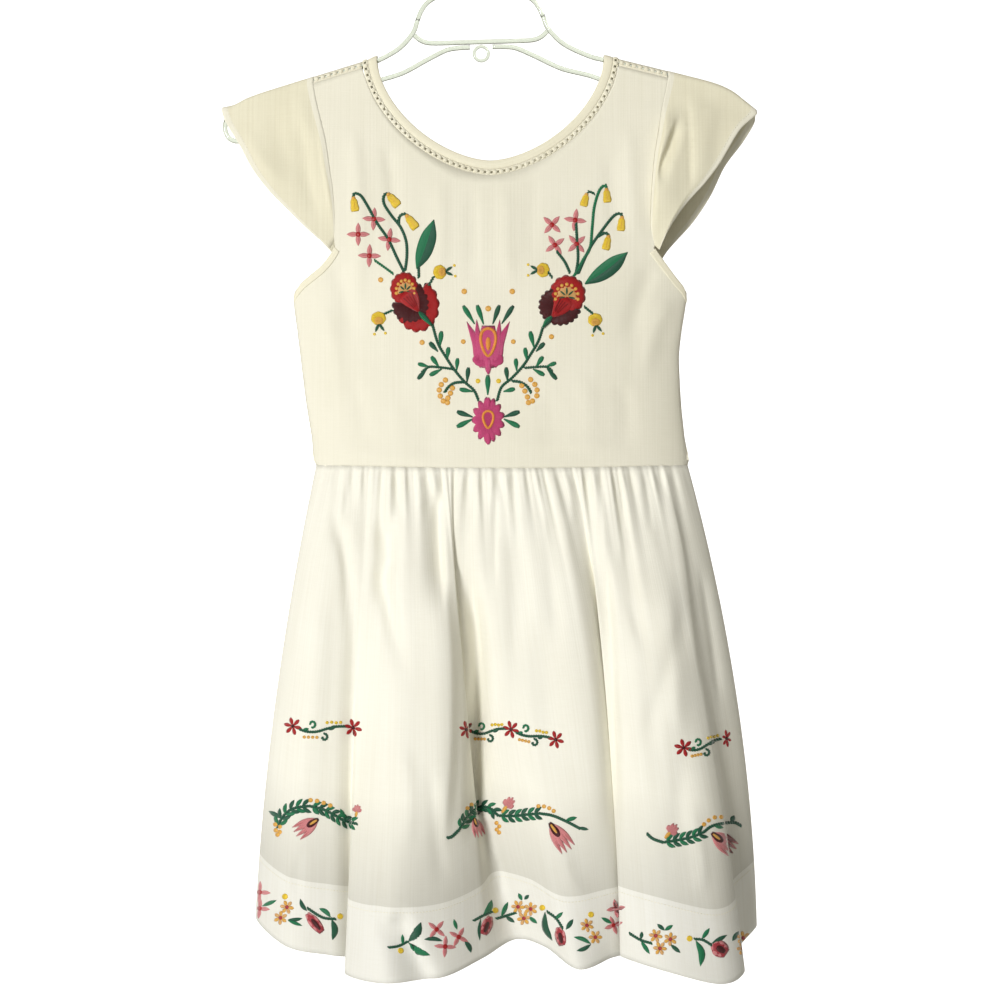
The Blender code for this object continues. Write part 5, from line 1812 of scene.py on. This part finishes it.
def sew_garlands(name, cloth, facing):
    """Both rows of garlands on one side of the skirt."""
    hoop = new_hoop()
    for start, end, sag in ROW_ONE:
        red_garland(hoop, start, end, sag)
    for centre, squeeze in (((292.7, 726.2), 1.0), ((353.2, 727.8), 1.0), ((466.4, 729.6), 0.8),
                            ((510.9, 729.5), 0.95), ((555.6, 739.7), 0.95), ((683.9, 747.8), 1.1),
                            ((726.8, 738.4), 0.5)):
        red_flower(hoop, centre, squeeze)

    feathers(hoop, ((277.5, 828), (281.2, 818.8), (287.7, 811.6), (296.4, 807.6), (309.4, 806.0)))
    feathers(hoop, ((309.4, 806.0), (322.4, 809.2), (333.3, 814.4), (344, 820.4), (357.5, 824)),
             6.6, 10.0)
    small_leaf(hoop, "dark green", (281, 818), (268.6, 811.0), 5.4)
    small_leaf(hoop, "leaf green", (312, 807), (319.4, 813), 4.6)
    for centre in ((275.2, 824.4), (279.6, 826.6), (275.6, 830.2), (279.6, 832.0), (277.4, 834.6),
                   (310.5, 800.2), (317, 801), (323.7, 803), (330.2, 805.6)):
        knot(hoop, "gold", centre, 2.4, 0.9)
    tulip(hoop, (319, 818.6), (294.4, 834.6), 15)
    small_fan(hoop, (355.6, 817), (357.8, 804.6), 11)
    small_leaf(hoop, "leaf green", (345, 819), (340.4, 808.8), 5.0)

    feathers(hoop, ((459, 830), (464, 822.6), (467.8, 816.7), (478.6, 807.4), (489.5, 808.0),
                    (498, 815.6)), 6.0, 9.6)
    stem(hoop, "dark green", ((447.0, 838), (452, 836.6), (459, 830)), 3.6)
    feathers(hoop, ((498, 815.6), (513.3, 816), (526, 814.6), (539.3, 813.4)), 6.6, 10.0)
    stem(hoop, "dark green", ((539.3, 813.4), (552.4, 815.6), (565.4, 821), (580, 828.6)), 3.0)
    small_leaf(hoop, "dark green", (578, 827.6), (588.6, 829.6), 4.0)
    small_leaf(hoop, "leaf green", (565.4, 820.5), (577, 817.4), 4.8)
    for centre in ((496.4, 823), (499.2, 826.4), (496.6, 829.6), (499.0, 832.6), (538.3, 806.2),
                   (543.9, 806.4), (549.2, 808.2), (553.6, 811), (467.6, 808.2), (471.6, 804.6)):
        knot(hoop, "gold", centre, 2.2, 0.9)
    tulip(hoop, (474, 817), (480.8, 837.6), 10.5)
    tulip(hoop, (549, 822), (569.9, 851.6), 16)
    small_fan(hoop, (501.6, 813), (513.0, 797.6), 14)

    feathers(hoop, ((663, 842.4), (677.1, 840.2), (692.4, 836.8), (703.9, 832)), 6.6, 10.6)
    stem(hoop, "dark green", ((646.8, 833.6), (653, 838.8), (663, 842.4)), 3.4)
    stem(hoop, "dark green", ((703.9, 832), (711.6, 826.3), (723, 823.4), (734.5, 822.6), (741.5, 826)),
         3.4)
    small_leaf(hoop, "leaf green", (714, 825.5), (723.6, 827.8), 4.6)
    small_leaf(hoop, "dark green", (731, 822), (734.4, 815.4), 5.6)
    for centre in ((704, 824.4), (708.7, 820.4), (714.8, 817.4), (721.4, 817.0)):
        knot(hoop, "gold", centre, 2.3, 0.9)
    small_fan(hoop, (664.8, 838.4), (677.0, 824.6), 15)
    tulip(hoop, (711.0, 832.4), (735.6, 851.4), 16)
    sew(name, hoop, cloth, facing)


sew_garlands("embroidered_front_garlands", skirt_front, -1)
sew_garlands("embroidered_back_garlands", skirt_back, 1)

# %% Border of the hem
BORDER_STEMS = (((307, 908), (322.4, 917.4), (336, 919)),
                ((388, 947.6), (398.4, 946.0), (408.4, 941.2)),
                ((473.4, 921), (483, 915.6), (493, 911.4)),
                ((496, 918.8), (506.8, 915.6), (516, 912.6)),
                ((546.6, 911.4), (556, 918.4), (563, 929)),
                ((629.0, 933.2), (640.6, 940), (652, 943.4)),
                ((694.0, 939), (703, 940), (712, 945.4)))
BORDER_LEAVES = (
    ((262, 906), (276.4, 900.4), 4.6, 0.0), ((287.8, 919.6), (302.4, 918.4), 4.4, 0.05),
    ((287.8, 920.4), (302.2, 925.8), 4.0, 0.0), ((300.2, 898.8), (307.0, 911), 5.0, 0.1),
    ((330.6, 917.2), (319.2, 908.4), 5.4, 0.1), ((331.8, 919.6), (332.4, 940), 7.6, -0.14),
    ((403, 944.6), (402.4, 934.4), 4.0, 0.0), ((408.4, 941.4), (421, 922.4), 9.4, 0.1),
    ((408.6, 942.8), (430, 955.2), 7.6, 0.1), ((442.6, 941), (424.2, 939.4), 5.0, 0.08),
    ((457, 929.6), (453.8, 919.2), 4.2, 0.0), ((464.6, 941), (471, 952.6), 5.8, -0.1),
    ((483.6, 915), (491.8, 899.8), 6.8, 0.1), ((480.8, 918.6), (479.8, 940.6), 3.8, 0.05),
    ((501.4, 916.4), (508, 902), 5.2, 0.0), ((505.7, 916.4), (514.6, 922.4), 4.6, 0.0),
    ((522, 900.4), (518.4, 893.2), 4.4, 0.0), ((524.2, 899.4), (529.0, 895.0), 4.2, 0.0),
    ((528.5, 916.6), (537.2, 923.4), 4.6, 0.0), ((545, 912), (552.2, 940.6), 7.2, 0.12),
    ((554.5, 919.6), (563, 912.2), 4.4, 0.0), ((566, 929.5), (573.2, 919.2), 5.4, 0.0),
    ((591, 944), (573.8, 937.0), 5.0, 0.08), ((591, 944.4), (576.6, 950.8), 5.0, -0.08),
    ((612.6, 923.6), (601.4, 917.6), 4.6, 0.0), ((641, 939), (642.0, 931.6), 4.4, 0.0),
    ((641, 941), (649.6, 954.0), 4.8, 0.0), ((664.6, 930.4), (657.2, 924.0), 4.6, 0.0),
    ((664.6, 930.4), (673, 925.2), 4.6, 0.0), ((670.6, 944.6), (680.4, 952.8), 4.8, 0.0),
    ((702, 939), (709.6, 928.2), 5.0, 0.0), ((711.6, 943.6), (727.2, 935.0), 5.0, 0.0),
    ((696, 940.8), (700.4, 966.2), 7.8, -0.14), ((738.8, 931.2), (732.4, 941.0), 5.4, 0.0))


def sew_border(name, cloth, facing):
    """The border of the hem on one side of the skirt."""
    hoop = new_hoop()
    for centre, reach, turn, squeeze in (((259.4, 892.2), 11.2, 4, 1), ((259.4, 908.4), 10.4, 96, 1),
                                         ((436.6, 929.4), 10.8, 40, 1), ((458.8, 937), 10.8, 28, 1),
                                         ((445.2, 946.6), 11.0, 4, 1), ((615.9, 908.6), 9.6, 80, 1),
                                         ((613.6, 925.4), 9.6, 70, 1)):
        star(hoop, centre, reach, turn, width=5.0)
    for centre, turn in (((286.9, 907.2), 10), ((280.4, 917.8), 35), ((518, 906.9), 5),
                         ((530.6, 909), 30), ((523.8, 918.4), 50), ((587.0, 925.4), 20),
                         ((595.4, 937.2), 0), ((655.7, 935.8), 10), ((670.4, 939.2), 35),
                         ((660.0, 948.4), 5), ((743.4, 938), 20), ((743.6, 948.6), 0)):
        daisy(hoop, centre, turn)
    for centre in ((284.8, 896.6), (340.2, 916.4), (400.8, 950.6), (495.5, 910.4), (542.2, 907.8),
                   (591, 914.6), (689.6, 938.6)):
        knot(hoop, "yellow", centre, 3.1, 1.0)
    for line in BORDER_STEMS:
        stem(hoop, "dark green", line, 2.6)
    for number, (base, tip, width, bend) in enumerate(BORDER_LEAVES):
        small_leaf(hoop, ("leaf green", "dark green")[number % 2], base, tip, width, bend)
    for base, tip, width in (((308.0, 914.8), (322.6, 932.4), 11), ((490.0, 917.6), (483.6, 935), 11),
                             ((558.6, 928.4), (562.4, 946), 11), ((713.6, 944.6), (727.2, 953.6), 17)):
        bud(hoop, base, tip, width)
    sew(name, hoop, cloth, facing)


sew_border("embroidered_front_border", skirt_front, -1)
sew_border("embroidered_back_border", skirt_back, 1)

# %% [markdown]
# ## Studio
#
# The photograph has a plain white ground and soft light from the front left, so the dress hangs in
# front of a pale sweep, a floor that turns up into a wall, with one large soft lamp.

# %% Floor, light and sky
floor_finish = new_finish("matt studio paint, pale", Roughness=0.9,
                          Base_Color=colour("#DCDCD8"))[0]
wall_finish, wall_shader = new_finish("matt studio paint, lit from behind", Roughness=0.9,
                                      Base_Color=colour("#FAFAF8"))
wall_shader.inputs["Emission Color"].default_value = (1.0, 1.0, 1.0, 1.0)
wall_shader.inputs["Emission Strength"].default_value = 0.75

FLOOR = {"height": -1.35, "back": 2.2, "front": -3.6, "width": 9.0, "length": 10.0, "bend": 0.5}
WALL_FROM = 1.2
bm = bmesh.new()
bmesh.ops.create_grid(bm, x_segments=1, y_segments=40, size=0.5)
for vertex in bm.verts:
    run = (vertex.co.y + 0.5) * FLOOR["length"] + FLOOR["front"]
    turn = min(max(run - FLOOR["back"], 0.0) / FLOOR["bend"], math.pi / 2)
    up = max(run - FLOOR["back"] - FLOOR["bend"] * math.pi / 2, 0.0)
    vertex.co = (vertex.co.x * FLOOR["width"],
                 min(run, FLOOR["back"]) + FLOOR["bend"] * math.sin(turn),
                 FLOOR["height"] + FLOOR["bend"] * (1.0 - math.cos(turn)) + up)
for face in bm.faces:
    face.material_index = int(face.calc_center_median().y > WALL_FROM)
bmesh.ops.recalc_face_normals(bm, faces=bm.faces)
sweep = new_piece("studio_sweep", bm, [floor_finish, wall_finish])

world = bpy.data.worlds.new("studio")
world.use_nodes = True
world.node_tree.nodes["Background"].inputs["Color"].default_value = (1.0, 0.96, 0.85, 1.0)
world.node_tree.nodes["Background"].inputs["Strength"].default_value = 0.25
bpy.context.scene.world = world
bpy.context.scene.view_settings.view_transform = "Standard"

lamp = bpy.data.lights.new("key_light", "AREA")
lamp.energy = 112.0
lamp.size = 0.9
light = bpy.data.objects.new("key_light", lamp)
light.location = (-1.9, -3.4, 0.0)
LAMP_AIM = Vector((0.0, 0.0, -0.6))
light.rotation_euler = (LAMP_AIM - light.location).to_track_quat("-Z", "Y").to_euler()
bpy.context.scene.collection.objects.link(light)
